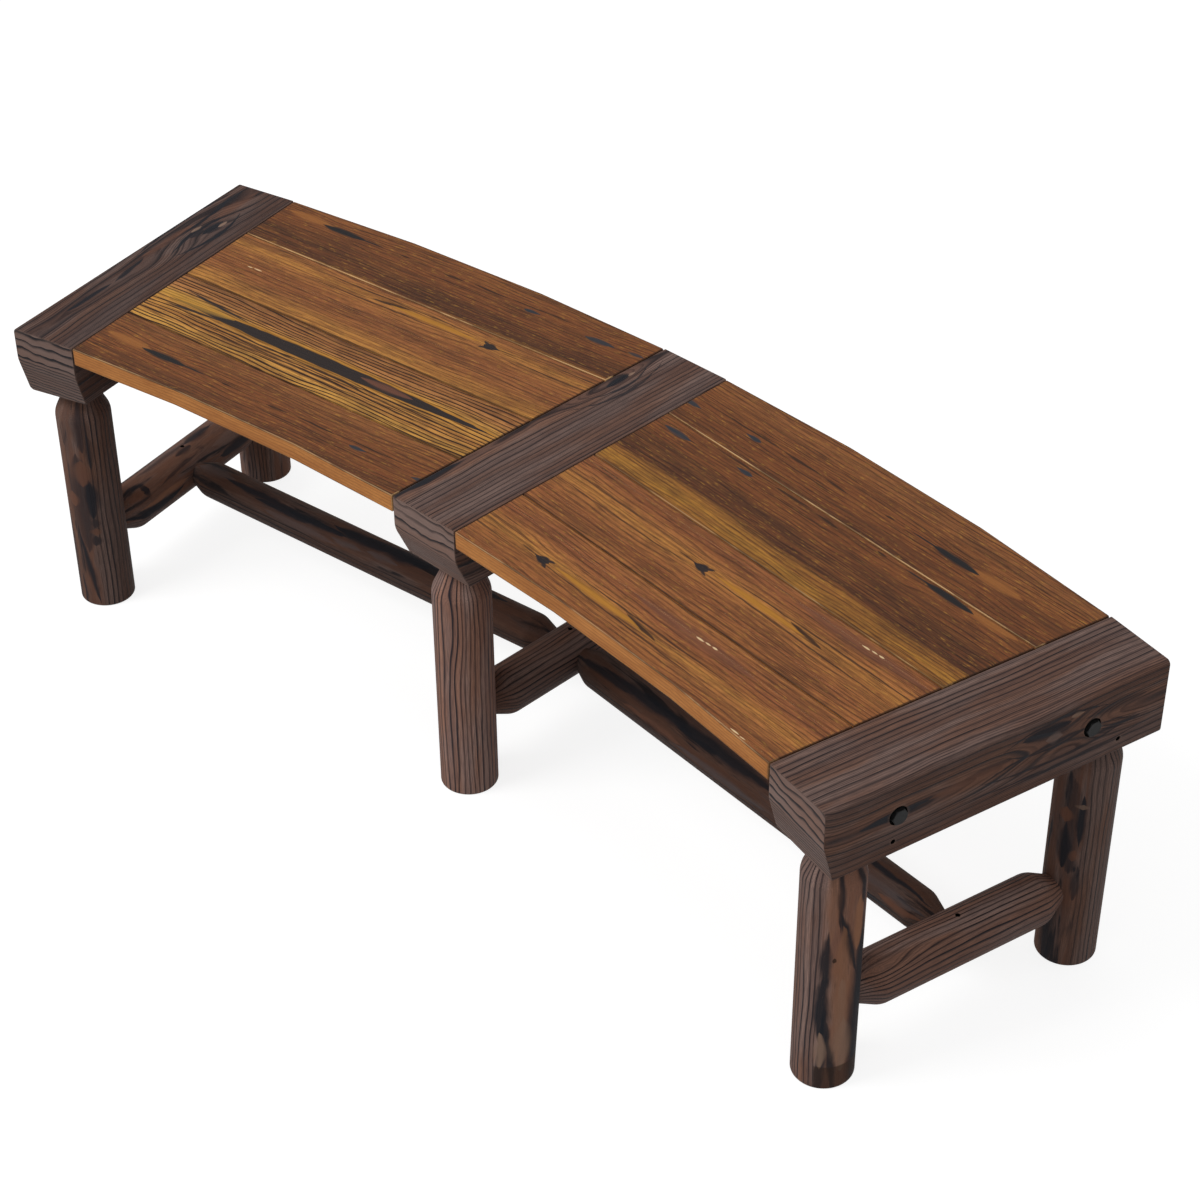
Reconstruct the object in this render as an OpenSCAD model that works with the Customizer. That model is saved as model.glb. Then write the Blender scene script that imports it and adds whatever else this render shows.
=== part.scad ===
// Curved log bench: two mitred seat panels hang between three bearers, and each bearer stands
// on two round legs. Turned stretchers with tapered ends tie the legs together below.
// X runs along the bench, Z = 0 is the ground, and the hollow side of the curve faces -Y.
// The origin is on the ground, at the middle of the bench's overall box.

/* [Overall] */
// Height of the seat's top face above the ground
seat_h = 450; // [400:1:520]
// Turn of each end bearer from the centre bearer, in degrees
turn = 12.7; // [9:0.1:16]
// Front edge of a seat panel, from bearer to bearer
panel_front_l = 566; // [480:1:680]
// Length of a bearer, from its front end to its rear end
bearer_l = 486; // [460:1:560]

/* [Bearers] */
// Height of a bearer
bearer_h = 95; // [90:1:120]
// How much lower the outer bottom edge of an end bearer lies than its inner one
end_bearer_lean = 9; // [0:1:12]
// Width of the two end bearers
end_bearer_w = 101.5; // [94:0.5:120]
// Width of the centre bearer
centre_bearer_w = 110; // [94:1:130]
// Upright part of a bearer's front end, above the sloping part
nose_upright_h = 47; // [35:1:60]
// How far the slope draws back at the bottom of an end bearer's front end
end_nose_back = 13; // [8:1:24]
// How far the slope draws back at the bottom of the centre bearer's front end
centre_nose_back = 22; // [8:1:28]
// Rounding of the nose where upright and slope meet
nose_ease_r = 40; // [10:1:60]
// Rounding of the outer top edge of an end bearer
outer_top_r = 6; // [4:1:20]
// Rounding of the outer bottom edge of an end bearer
outer_bottom_r = 6; // [4:1:24]
// Small bevel on the sawn edges of bearers and boards
edge_bevel = 1.5; // [0.5:0.5:3]

/* [Boards] */
// Thickness of the seat boards
board_t = 25; // [20:1:32]
// Width of the front board
board_1_w = 112.5; // [95:0.5:120]
// Width of the second board
board_2_w = 122; // [105:0.5:130]
// Width of the third board
board_3_w = 132; // [115:0.5:140]
// Gap between two boards
board_gap = 1.8; // [1:0.1:5]
// Gap between a board's end and the bearer
board_end_gap = 1.5; // [1:0.1:4]
// How far the boards' rear corners stop short of the bearers' rear ends
board_back_inset = 1.5; // [0.5:0.5:10]
// How far the front edge of a panel draws back in its middle
front_bow = 11; // [0:0.5:16]
// Length of the straight middle part of that edge
front_flat = 210; // [140:1:300]
// How far the rear edge of a panel stands out in its middle
rear_bow = 14; // [0:0.5:20]
// Length of the straight middle part of that edge
rear_flat = 230; // [140:1:320]

/* [Legs] */
// Diameter of the legs
leg_d = 76; // [66:1:86]
// Distance of a leg's axis from the nearer end of its bearer
leg_in = 57; // [46:1:70]
// Diameter of the tenon at the top of a leg
leg_tenon_d = 38; // [32:1:44]
// Length of that tenon inside the bearer
leg_tenon_l = 50; // [35:1:60]
// How far below the bearer a leg starts to taper
leg_neck = 44; // [40:1:60]
// Length of that taper
leg_taper_l = 40; // [30:1:40]
// Bevel round the foot of a leg
foot_bevel = 2; // [1:0.5:5]
// Rounding where a turned log starts to taper
log_ease_r = 30; // [10:1:50]

/* [Stretchers] */
// Height of the stretchers' axes above the ground
stretcher_z = 109; // [80:1:160]
// Diameter of the cross stretchers
cross_d = 67.5; // [56:0.5:74]
// Clear length of a cross stretcher between the leg and the start of its taper
cross_neck = 24.5; // [20:0.5:40]
// Length of the taper of a cross stretcher
cross_taper_l = 30; // [20:1:34]
// Diameter of the tenon of a cross stretcher
cross_tenon_d = 38; // [28:1:42]
// How far a cross stretcher's tenon stops short of the leg's axis
cross_stop = 4; // [2:1:12]
// Diameter of the long stretchers
long_d = 53.5; // [44:0.5:60]
// Clear length of a long stretcher between the cross stretcher and the start of its taper
long_neck = 25; // [18:1:40]
// Length of the taper of a long stretcher
long_taper_l = 28; // [20:1:34]
// Diameter of the tenon of a long stretcher
long_tenon_d = 33; // [24:1:38]
// How far the long stretchers lie behind the middle of the cross stretchers
long_behind = 4; // [-20:1:20]
// How far a long stretcher's outer tenon passes the axis of the end cross stretcher
long_past = 12; // [8:1:18]
// How far its inner tenon stops short of the axis of the centre cross stretcher
long_stop = 0.8; // [0.5:0.1:2]

/* [Ledgers] */
// Thickness of the ledgers that carry the boards along each bearer
ledger_w = 38; // [32:1:50]
// Height of the ledgers
ledger_h = 66; // [62:1:69]
// Distance of a ledger's front end from the bearer's front end
ledger_front = 76; // [60:1:80]
// Distance of a ledger's rear end from the bearer's rear end
ledger_rear = 20; // [10:1:40]

/* [Bolts] */
// Diameter of the bolts that hold the ledgers to the bearers
bolt_d = 12; // [8:1:14]
// Distance of a front bolt from the bearer's front end
bolt_front = 100; // [98:1:120]
// Distance of a rear bolt from the bearer's rear end
bolt_rear = 111; // [100:1:120]
// Depth of a bolt's axis below the seat's top face
bolt_drop = 48; // [45:1:60]
// Width of a bolt head and of a nut across two flats
hex_flats = 19; // [16:0.5:22]
// Height of a bolt head
head_h = 7.5; // [5:0.5:10]
// Height of a nut
nut_h = 10; // [8:0.5:12]
// Length of thread that stands out of a nut
bolt_tail = 4; // [2:0.5:10]
// Diameter of the recess that a bolt head sits in
recess_d = 25; // [23:0.5:30]
// Depth of that recess
recess_deep = 3.5; // [1:0.5:6]
// Outer diameter of a washer
washer_d = 24; // [22:1:30]
// Thickness of a washer
washer_t = 2.5; // [1.5:0.5:4]

/* [Screws] */
// Diameter of the long screws and of the stretcher screws
screw_d = 4.5; // [3.5:0.5:6]
// Diameter of their heads
screw_head_d = 6; // [5.5:0.5:8]
// Height of their heads
screw_head_h = 3; // [2:0.5:4]
// How deep those heads are sunk
screw_sunk = 9; // [5:1:14]
// Distance of the front ledger screw from the bearer's front end
ledger_screw_front = 95; // [92:1:100]
// Distance of the rear ledger screw from the bearer's rear end
ledger_screw_rear = 68; // [60:1:75]
// Depth of the ledger screws below the seat's top face
ledger_screw_drop = 83; // [78:1:88]
// How far a ledger screw bites into the ledger
ledger_bite = 25; // [15:1:30]
// How far a stretcher screw reaches below the axis of the stretcher
stretcher_bite = 22; // [18:1:26]
// Diameter of the screws that hold the boards to the ledgers
board_screw_d = 4.5; // [3.5:0.5:5]
// Diameter of their heads
board_screw_head_d = 8.5; // [7:0.5:9]
// Length of a board screw inside the ledger
board_screw_grip = 22; // [18:1:30]
// Length of a board screw inside the board
board_bite = 17; // [12:1:18]

/* [Hidden] */
$fn = 72;

// The two sides of the bench, and the three places of a bearer
LEFT = -1;
CENTRE = 0;
RIGHT = 1;
SIDES = [LEFT, RIGHT];
PLACES = [LEFT, CENTRE, RIGHT];

// Clearances: turned tenon in its socket, bolt in its hole, screw in its hole, thread in its nut
tenon_gap = 0.3;
bolt_gap = 0.5;
screw_gap = 0.2;
thread_gap = 0.15;
tenon_bevel = 1.5;
ease_steps = 6;
// Cutters run this far past the faces that they open
over = 1;

char_colour = [0.30, 0.24, 0.22];
inner_colour = [0.45, 0.30, 0.18];
board_colours = [[0.50, 0.27, 0.13], [0.66, 0.42, 0.16], [0.58, 0.35, 0.14], [0.40, 0.23, 0.12]];
iron_colour = [0.10, 0.10, 0.10];

// Plan of the bench. Each panel turns half as far as the end bearer beside it.
half_turn = turn / 2;
end_corner = [centre_bearer_w / 2 + panel_front_l * cos(half_turn), -panel_front_l * sin(half_turn)];
end_middle = end_corner + end_bearer_w / 2 * [cos(turn), -sin(turn)];
front_reach = end_corner.y - end_bearer_w * sin(turn);
plan_shift = -(bearer_l + front_reach) / 2;

// Heights and places that several pieces share
bearer_z = seat_h - bearer_h;
board_z = seat_h - board_t;
ledger_z = board_z - ledger_h;
ledger_l = bearer_l - ledger_front - ledger_rear;
bolt_z = seat_h - bolt_drop;
ledger_screw_z = seat_h - ledger_screw_drop;
leg_rows = [leg_in, bearer_l - leg_in];
bolt_rows = [bolt_front, bearer_l - bolt_rear];
ledger_screw_rows = [ledger_screw_front, bearer_l - ledger_screw_rear];
long_row = bearer_l / 2 + long_behind;

// The boards, front to rear. The last one fills what is left of the panel.
panel_d = bearer_l * cos(half_turn) - board_back_inset;
board_4_w = panel_d - board_1_w - board_2_w - board_3_w - 3 * board_gap;
board_widths = [board_1_w, board_2_w, board_3_w, board_4_w];
function sum_to(list, n) = n == 0 ? 0 : list[n - 1] + sum_to(list, n - 1);
function board_start(k) = sum_to(board_widths, k) + k * board_gap;

// Board screws stand at the quarter points of each board, wherever the ledger reaches
quarter_points = [0.25, 0.75];
screw_margin = 8;
function in_ledger(row) = row > ledger_front + screw_margin && row < bearer_l - ledger_rear - screw_margin;
function board_screw_rows(k) = [for (q = quarter_points)
    let(row = (board_start(k) + q * board_widths[k]) / cos(half_turn)) if (in_ledger(row)) row];

// Route of a long stretcher, from the centre cross stretcher's axis to the end one's
long_run = [end_middle.x + long_row * sin(turn), end_middle.y + long_row * (cos(turn) - 1)];
long_l = norm(long_run);
long_angle = atan2(long_run.y, long_run.x);

// Half outline of a log's tapered end, as [radius, distance from the joint]: a short arc leads
// from the full radius into a cone, and the cone ends in a straight tenon.
function log_tip(full_r, tenon_r, start, taper_l, stop, grow = 0, bevel = tenon_bevel) =
    let(slope = atan((full_r - tenon_r) / taper_l), lead = log_ease_r * tan(slope / 2))
    concat(
        [for (i = [0:ease_steps]) let(a = slope * i / ease_steps)
            [full_r + grow - log_ease_r * (1 - cos(a)), start + lead - log_ease_r * sin(a)]],
        [[tenon_r + grow, start - taper_l], [tenon_r + grow, stop + bevel],
            [tenon_r + grow - bevel, stop], [0, stop]]);
function reversed(list) = [for (i = [len(list) - 1:-1:0]) list[i]];
// A log between two joints that lie l apart
function log_outline(first, last, l) = concat(reversed(first), [for (p = last) [p.x, l - p.y]]);
// The space that a tip takes in the piece it enters
function socket_outline(tip) = concat([[0, tip[0].y]], tip);

function leg_tip(grow = 0) = log_tip(leg_d / 2, leg_tenon_d / 2, leg_tenon_l + leg_neck,
    leg_taper_l, 0, grow);
function cross_tip(grow = 0) = log_tip(cross_d / 2, cross_tenon_d / 2, leg_d / 2 + cross_neck,
    cross_taper_l, cross_stop, grow);
function long_tip(stop, grow = 0) = log_tip(long_d / 2, long_tenon_d / 2, cross_d / 2 + long_neck,
    long_taper_l, stop, grow);

// Frames. Each is at the pieces that it serves, and the left one mirrors the right one.
module side_frame(side) {
    if (side == LEFT) mirror([1, 0, 0]) children();
    else children();
}

// Along a bearer: Y from its front end, X across it and outward on the end bearers
module bearer_frame(place) {
    if (place == CENTRE) translate([0, plan_shift, 0]) children();
    else side_frame(place) translate([end_middle.x, plan_shift + end_middle.y, 0])
        rotate([0, 0, -turn]) children();
}

// Along a ledger: X = 0 on the bearer's face, X away from the bearer, Y from its front end
module ledger_frame(side, at_end) {
    if (at_end) bearer_frame(side) translate([-end_bearer_w / 2, 0, 0]) mirror([1, 0, 0]) children();
    else side_frame(side) translate([centre_bearer_w / 2, plan_shift, 0]) children();
}

// Along a seat panel: X from the centre bearer's front corner, Y to the rear
module panel_frame(side) {
    side_frame(side) translate([centre_bearer_w / 2, plan_shift, 0]) rotate([0, 0, -half_turn]) children();
}

// Along a long stretcher: Z from the centre cross stretcher to the end one
module long_frame(side) {
    side_frame(side) translate([0, plan_shift + long_row, stretcher_z])
        rotate([0, 0, long_angle]) rotate([0, 90, 0]) children();
}

// Bearers
module round_corner_cut(r) {
    difference() {
        square(r + over);
        circle(r);
    }
}

// Cross-section of the centre bearer in X and Z, with its top at zero
module centre_section() {
    w = centre_bearer_w;
    b = edge_bevel;
    polygon([[-w / 2, b - bearer_h], [b - w / 2, -bearer_h], [w / 2 - b, -bearer_h],
        [w / 2, b - bearer_h], [w / 2, -b], [w / 2 - b, 0], [b - w / 2, 0], [-w / 2, -b]]);
}

// Cross-section of an end bearer. Its underside leans, and its outer edges are rounded.
module end_section() {
    w = end_bearer_w;
    b = edge_bevel;
    low = bearer_h + end_bearer_lean;
    round_low = low - end_bearer_lean * outer_bottom_r / w;
    difference() {
        polygon([[-w / 2, b - bearer_h], [b - w / 2, -bearer_h], [w / 2, -low], [w / 2, 0],
            [b - w / 2, 0], [-w / 2, -b]]);
        translate([w / 2 - outer_top_r, -outer_top_r]) round_corner_cut(outer_top_r);
        translate([w / 2 - outer_bottom_r, outer_bottom_r - round_low])
            mirror([0, 1]) round_corner_cut(outer_bottom_r);
    }
}

// Side outline of a bearer in Y and Z, with its top at zero and the nose at the front. The slope
// of the nose runs on below the bearer, as far as the underside may lean.
module bearer_side(nose_back, lean) {
    b = edge_bevel;
    slope = atan(nose_back / (bearer_h - nose_upright_h));
    low = bearer_h + lean;
    lead = nose_ease_r * tan(slope / 2);
    polygon(concat(
        [[bearer_l, b - low], [bearer_l, -b], [bearer_l - b, 0], [b, 0], [0, -b]],
        [for (i = [0:ease_steps]) let(a = slope * i / ease_steps)
            [nose_ease_r * (1 - cos(a)), lead - nose_upright_h - nose_ease_r * sin(a)]],
        [[nose_back + lean * tan(slope), -low], [bearer_l - b, -low]]));
}

// A bearer's timber: its child is the cross-section
module bearer_blank(w, nose_back, lean = 0) {
    translate([0, 0, seat_h]) intersection() {
        translate([0, bearer_l + over, 0]) rotate([90, 0, 0]) linear_extrude(bearer_l + 2 * over) children();
        translate([-w / 2 - over, 0, 0]) rotate([90, 0, 90])
            linear_extrude(w + 2 * over) bearer_side(nose_back, lean);
    }
}

module leg_sockets() {
    for (row = leg_rows) translate([0, row, bearer_z + leg_tenon_l]) mirror([0, 0, 1])
        rotate_extrude() polygon(socket_outline(leg_tip(tenon_gap)));
}

// A hole along X through a bearer and its ledgers
module cross_hole(row, z, r, from_x, to_x) {
    translate([from_x, row, z]) rotate([0, 90, 0]) cylinder(h = to_x - from_x, r = r);
}

module bolt_holes(w) {
    reach = w / 2 + ledger_w + over;
    for (row = bolt_rows) cross_hole(row, bolt_z, bolt_d / 2 + bolt_gap, -reach, reach);
}

module ledger_screw_holes() {
    seat_x = end_bearer_w / 2 - screw_sunk;
    for (row = ledger_screw_rows) {
        cross_hole(row, ledger_screw_z, screw_d / 2 + screw_gap,
            -end_bearer_w / 2 - ledger_bite, end_bearer_w / 2);
        cross_hole(row, ledger_screw_z, screw_head_d / 2 + screw_gap, seat_x, end_bearer_w / 2 + over);
    }
}

module end_bearer(side) {
    color(char_colour) bearer_frame(side) difference() {
        bearer_blank(end_bearer_w, end_nose_back, end_bearer_lean) end_section();
        leg_sockets();
        bolt_holes(end_bearer_w);
        for (row = bolt_rows) cross_hole(row, bolt_z, recess_d / 2,
            end_bearer_w / 2 - recess_deep, end_bearer_w / 2 + over);
        ledger_screw_holes();
    }
}

module centre_bearer() {
    color(char_colour) bearer_frame(CENTRE) difference() {
        bearer_blank(centre_bearer_w, centre_nose_back) centre_section();
        leg_sockets();
        bolt_holes(centre_bearer_w);
    }
}

// Legs. Row 0 is the front one and row 1 the rear one.
module leg(place, row) {
    toward_middle = row == 0 ? 0 : 180;
    tip = [for (p = leg_tip()) [p.x, bearer_z + leg_tenon_l - p.y]];
    color(char_colour) bearer_frame(place) difference() {
        translate([0, leg_rows[row], 0]) difference() {
            rotate_extrude() polygon(concat(reversed(tip),
                [[leg_d / 2, foot_bevel], [leg_d / 2 - foot_bevel, 0], [0, 0]]));
            translate([0, 0, stretcher_z]) rotate([0, 0, toward_middle]) rotate([-90, 0, 0])
                rotate_extrude() polygon(socket_outline(cross_tip(tenon_gap)));
        }
        if (place != CENTRE) ledger_screw_holes();
    }
}

// Stretchers
module stretcher_screw_hole(place) {
    seat = cross_d / 2 - screw_sunk;
    bearer_frame(place) translate([0, long_row, stretcher_z]) {
        translate([0, 0, -stretcher_bite]) cylinder(h = stretcher_bite + seat, r = screw_d / 2 + screw_gap);
        translate([0, 0, seat]) cylinder(h = screw_sunk + over, r = screw_head_d / 2 + screw_gap);
    }
}

module long_socket(side, at_end) {
    long_frame(side) {
        if (at_end) translate([0, 0, long_l]) mirror([0, 0, 1])
            rotate_extrude() polygon(socket_outline(long_tip(-long_past, tenon_gap)));
        else rotate_extrude() polygon(socket_outline(long_tip(long_stop, tenon_gap)));
    }
}

module cross_stretcher(place) {
    color(char_colour) difference() {
        bearer_frame(place) translate([0, leg_in, stretcher_z]) rotate([-90, 0, 0]) rotate_extrude()
            polygon(log_outline(cross_tip(), cross_tip(), leg_rows[1] - leg_rows[0]));
        if (place == CENTRE) for (side = SIDES) long_socket(side, false);
        else long_socket(place, true);
        stretcher_screw_hole(place);
    }
}

module long_stretcher(side) {
    color(char_colour) difference() {
        long_frame(side) rotate_extrude()
            polygon(log_outline(long_tip(long_stop), long_tip(-long_past), long_l));
        stretcher_screw_hole(CENTRE);
        stretcher_screw_hole(side);
    }
}

// Boards and ledgers
module board_screw_holes(side, rows) {
    for (at_end = [false, true]) ledger_frame(side, at_end) for (row = rows)
        translate([ledger_w / 2, row, board_z - board_screw_grip])
            cylinder(h = board_screw_grip + board_bite, r = board_screw_d / 2 + screw_gap);
}

// The line of a board's front or rear edge, y behind the panel's front, from one mitre to the
// other. An edge with a bow runs in three straight parts, and the middle part lies furthest back.
function edge_line(y, flat, bow) =
    let(lean = y * tan(half_turn), start = [-lean, y], end = [panel_front_l + lean, y])
    bow == 0 ? [start, end]
        : [start, [(panel_front_l - flat) / 2, y + bow], [(panel_front_l + flat) / 2, y + bow], end];

// A slab of a board's thickness that lies left of the line from p to q, with bevelled arrises there
module slab(p, q) {
    b = edge_bevel;
    reach = 2 * panel_front_l;
    translate([p.x, p.y, 0]) rotate([0, 0, atan2(q.y - p.y, q.x - p.x)]) translate([-reach, 0, 0])
        rotate([90, 0, 90]) linear_extrude(2 * reach)
            polygon([[b, 0], [reach, 0], [reach, board_t], [b, board_t], [0, board_t - b], [0, b]]);
}

module board(side, k) {
    y0 = board_start(k);
    y1 = y0 + board_widths[k];
    front = edge_line(y0, front_flat, k == 0 ? front_bow : 0);
    rear = edge_line(y1, rear_flat, k == len(board_widths) - 1 ? rear_bow : 0);
    inset = board_end_gap / cos(half_turn);
    deep = bearer_l + rear_bow;
    lean = deep * tan(half_turn);
    ahead = over * tan(half_turn);
    color(board_colours[k]) difference() {
        panel_frame(side) translate([0, 0, board_z]) intersection() {
            linear_extrude(board_t) polygon([[inset + ahead, -over], [panel_front_l - inset - ahead, -over],
                [panel_front_l - inset + lean, deep], [inset - lean, deep]]);
            for (i = [1:len(front) - 1]) slab(front[i - 1], front[i]);
            intersection_for (i = [1:len(rear) - 1]) slab(rear[i], rear[i - 1]);
        }
        board_screw_holes(side, board_screw_rows(k));
    }
}

module ledger(side, at_end) {
    color(inner_colour) difference() {
        ledger_frame(side, at_end) translate([0, ledger_front, ledger_z]) cube([ledger_w, ledger_l, ledger_h]);
        bearer_frame(at_end ? side : CENTRE) {
            bolt_holes(at_end ? end_bearer_w : centre_bearer_w);
            if (at_end) ledger_screw_holes();
        }
        for (k = [0:len(board_widths) - 1]) {
            board_screw_holes(side, board_screw_rows(k));
            ledger_frame(side, at_end) for (row = board_screw_rows(k))
                translate([ledger_w / 2, row, ledger_z - over])
                    cylinder(h = ledger_h - board_screw_grip + over, r = board_screw_head_d / 2 + screw_gap);
        }
    }
}

// Fasteners
module hexagon(h, bore_r = 0) {
    corner_r = hex_flats / 2 / cos(30);
    bevel = corner_r - hex_flats / 2;
    difference() {
        intersection() {
            rotate([0, 0, 30]) cylinder(h = h, r = corner_r, $fn = 6);
            rotate_extrude() polygon([[0, 0], [corner_r, 0], [corner_r, h - bevel],
                [corner_r - bevel, h], [0, h]]);
        }
        if (bore_r > 0) translate([0, 0, -over]) cylinder(h = h + 2 * over, r = bore_r);
    }
}

// A bolt along +X: the underside of its head at X = 0, its shank toward -X
module bolt(shank_l) {
    rotate([0, 90, 0]) {
        hexagon(head_h);
        translate([0, 0, -shank_l]) cylinder(h = shank_l, r = bolt_d / 2);
    }
}

// Stack of washer and nut toward -X from the face at X = 0
stack_l = washer_t + nut_h + bolt_tail;

module end_bolts() {
    seat_x = end_bearer_w / 2 - recess_deep;
    color(iron_colour) for (side = SIDES) bearer_frame(side) for (row = bolt_rows)
        translate([seat_x, row, bolt_z]) bolt(seat_x + end_bearer_w / 2 + ledger_w + stack_l);
}

module centre_bolts() {
    face_x = centre_bearer_w / 2 + ledger_w;
    color(iron_colour) bearer_frame(CENTRE) for (row = bolt_rows)
        translate([face_x + washer_t, row, bolt_z]) bolt(2 * face_x + washer_t + stack_l);
}

// Calls its child at every ledger face that a nut bears on, with +X pointing away from the face
module at_nuts() {
    for (side = SIDES, row = bolt_rows) ledger_frame(side, true)
        translate([ledger_w, row, bolt_z]) children();
    for (row = bolt_rows) ledger_frame(LEFT, false) translate([ledger_w, row, bolt_z]) children();
}

module washer() {
    rotate([0, 90, 0]) difference() {
        cylinder(h = washer_t, r = washer_d / 2);
        translate([0, 0, -over]) cylinder(h = washer_t + 2 * over, r = bolt_d / 2 + bolt_gap);
    }
}

module nuts() {
    color(iron_colour) at_nuts() translate([washer_t, 0, 0]) rotate([0, 90, 0])
        hexagon(nut_h, bolt_d / 2 + thread_gap);
}

module washers() {
    color(iron_colour) {
        at_nuts() washer();
        for (row = bolt_rows) ledger_frame(RIGHT, false) translate([ledger_w, row, bolt_z]) washer();
    }
}

// A screw pointing along -Z, with the underside of its head at zero
module screw(d, head_d, head_h, l) {
    point = d / 2;
    cylinder(h = head_h, r = head_d / 2);
    translate([0, 0, point - l]) cylinder(h = l - point, r = d / 2);
    translate([0, 0, -l]) cylinder(h = point, r1 = 0, r2 = d / 2);
}

module ledger_screws() {
    seat_x = end_bearer_w / 2 - screw_sunk;
    color(iron_colour) for (side = SIDES, row = ledger_screw_rows) bearer_frame(side)
        translate([seat_x, row, ledger_screw_z]) rotate([0, 90, 0])
            screw(screw_d, screw_head_d, screw_head_h, seat_x + end_bearer_w / 2 + ledger_bite);
}

module stretcher_screws() {
    seat = cross_d / 2 - screw_sunk;
    color(iron_colour) for (place = PLACES) bearer_frame(place)
        translate([0, long_row, stretcher_z + seat])
            screw(screw_d, screw_head_d, screw_head_h, seat + stretcher_bite);
}

module board_screws() {
    head_h = (board_screw_head_d - board_screw_d) / 2;
    color(iron_colour) for (side = SIDES, at_end = [false, true], k = [0:len(board_widths) - 1])
        ledger_frame(side, at_end) for (row = board_screw_rows(k))
            translate([ledger_w / 2, row, board_z - board_screw_grip]) mirror([0, 0, 1])
                screw(board_screw_d, board_screw_head_d, head_h, board_screw_grip + board_bite);
}

end_bearer(LEFT);  // bearer_left
centre_bearer();  // bearer_centre
end_bearer(RIGHT);  // bearer_right
leg(LEFT, 0);  // leg_front_left
leg(LEFT, 1);  // leg_rear_left
leg(CENTRE, 0);  // leg_front_centre
leg(CENTRE, 1);  // leg_rear_centre
leg(RIGHT, 0);  // leg_front_right
leg(RIGHT, 1);  // leg_rear_right
cross_stretcher(LEFT);  // cross_stretcher_left
cross_stretcher(CENTRE);  // cross_stretcher_centre
cross_stretcher(RIGHT);  // cross_stretcher_right
long_stretcher(LEFT);  // long_stretcher_left
long_stretcher(RIGHT);  // long_stretcher_right
board(LEFT, 0);  // board_left_1
board(LEFT, 1);  // board_left_2
board(LEFT, 2);  // board_left_3
board(LEFT, 3);  // board_left_4
board(RIGHT, 0);  // board_right_1
board(RIGHT, 1);  // board_right_2
board(RIGHT, 2);  // board_right_3
board(RIGHT, 3);  // board_right_4
ledger(LEFT, true);  // ledger_left_end
ledger(LEFT, false);  // ledger_left_inner
ledger(RIGHT, false);  // ledger_right_inner
ledger(RIGHT, true);  // ledger_right_end
end_bolts();
centre_bolts();
nuts();
washers();
ledger_screws();
stretcher_screws();
board_screws();
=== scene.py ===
"""Curved log bench for round a tree, dressed for its portrait.

Two mitred plank panels hang between three heavy bearers on round log legs. Every timber is a
surface worked out on a grid of two parameters, and its grain, scorch marks and knots are drawn
in its own coordinates, in millimetres along, across and up the timber.
"""
import logging
import math
from dataclasses import dataclass, field, fields, replace
from enum import Enum
from typing import Sequence

import bpy
import numpy as np
from mathutils import Matrix


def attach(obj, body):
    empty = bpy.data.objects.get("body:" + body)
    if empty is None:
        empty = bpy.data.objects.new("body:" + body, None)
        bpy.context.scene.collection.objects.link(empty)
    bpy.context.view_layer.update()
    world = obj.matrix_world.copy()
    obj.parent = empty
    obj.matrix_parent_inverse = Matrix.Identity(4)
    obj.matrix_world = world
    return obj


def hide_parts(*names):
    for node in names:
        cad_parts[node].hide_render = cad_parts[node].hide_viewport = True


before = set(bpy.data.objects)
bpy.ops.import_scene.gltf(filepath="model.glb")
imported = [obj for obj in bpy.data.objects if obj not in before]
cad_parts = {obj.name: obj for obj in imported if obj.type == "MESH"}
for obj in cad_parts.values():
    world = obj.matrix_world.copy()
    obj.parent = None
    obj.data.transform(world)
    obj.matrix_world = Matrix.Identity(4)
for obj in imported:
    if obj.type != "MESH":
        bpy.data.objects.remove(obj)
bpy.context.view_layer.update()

LOG = logging.getLogger("bench")
MM = 0.001
QUARTER = math.pi / 2

# An edge that turns by more degrees than this stays sharp: on sawn timber, on a log, on steel.
SHARP = 35.0
LOG_SHARP = 30.0
STEEL_SHARP = 25.0

# Steps round a screw or a small hole, round a bolt, a bore or a socket, and round a log.
SCREW_STEPS = 24
BOLT_STEPS = 48
LOG_STEPS = 96

Colour = tuple[float, float, float, float]
Three = tuple[float, float, float]
Socket = bpy.types.NodeSocket


class Spot(Enum):
    """Where a bearer stands. Left and right name the panels too."""
    LEFT = -1
    CENTRE = 0
    RIGHT = 1


class Row(Enum):
    """The two legs under a bearer."""
    FRONT = 0
    REAR = 1


class Slot(Enum):
    """Material slots of the packed record."""
    CHARRED = "charred_wood"
    BOARD = "seat_board"
    BLACK = "black_steel"


SIDES = (Spot.LEFT, Spot.RIGHT)


def srgb(*screen: int) -> Colour:
    """Turn a screen colour, 0 to 255, into the linear one with alpha that a shader takes."""
    parts = [byte / 255 for byte in screen]
    linear = [p / 12.92 if p <= 0.04045 else ((p + 0.055) / 1.055) ** 2.4 for p in parts]
    return linear[0], linear[1], linear[2], 1.0


@dataclass(frozen=True)
class Place:
    """Where a timber lies: X along its grain, Y across and Z up, or X up on an upright log."""
    x: float
    y: float
    z: float
    yaw: float = 0.0
    upright: bool = False

    def turn(self) -> np.ndarray:
        """Return the 3 by 3 turn: about Z by the yaw, after an upright log is stood on end."""
        c, s = math.cos(self.yaw), math.sin(self.yaw)
        about_z = np.array([[c, -s, 0.0], [s, c, 0.0], [0.0, 0.0, 1.0]])
        stand = np.array([[0.0, 0.0, -1.0], [0.0, 1.0, 0.0], [1.0, 0.0, 0.0]])
        return about_z @ stand if self.upright else about_z

    def world(self, points: np.ndarray) -> np.ndarray:
        """Carry the timber's own points to the bench: turn them, then shift by the origin."""
        return points @ self.turn().T + np.array([self.x, self.y, self.z])

    def slid(self, far: float) -> "Place":
        """Return the frame moved by this far along its own level X."""
        return replace(self, x=self.x + far * math.cos(self.yaw), y=self.y + far * math.sin(self.yaw))


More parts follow.
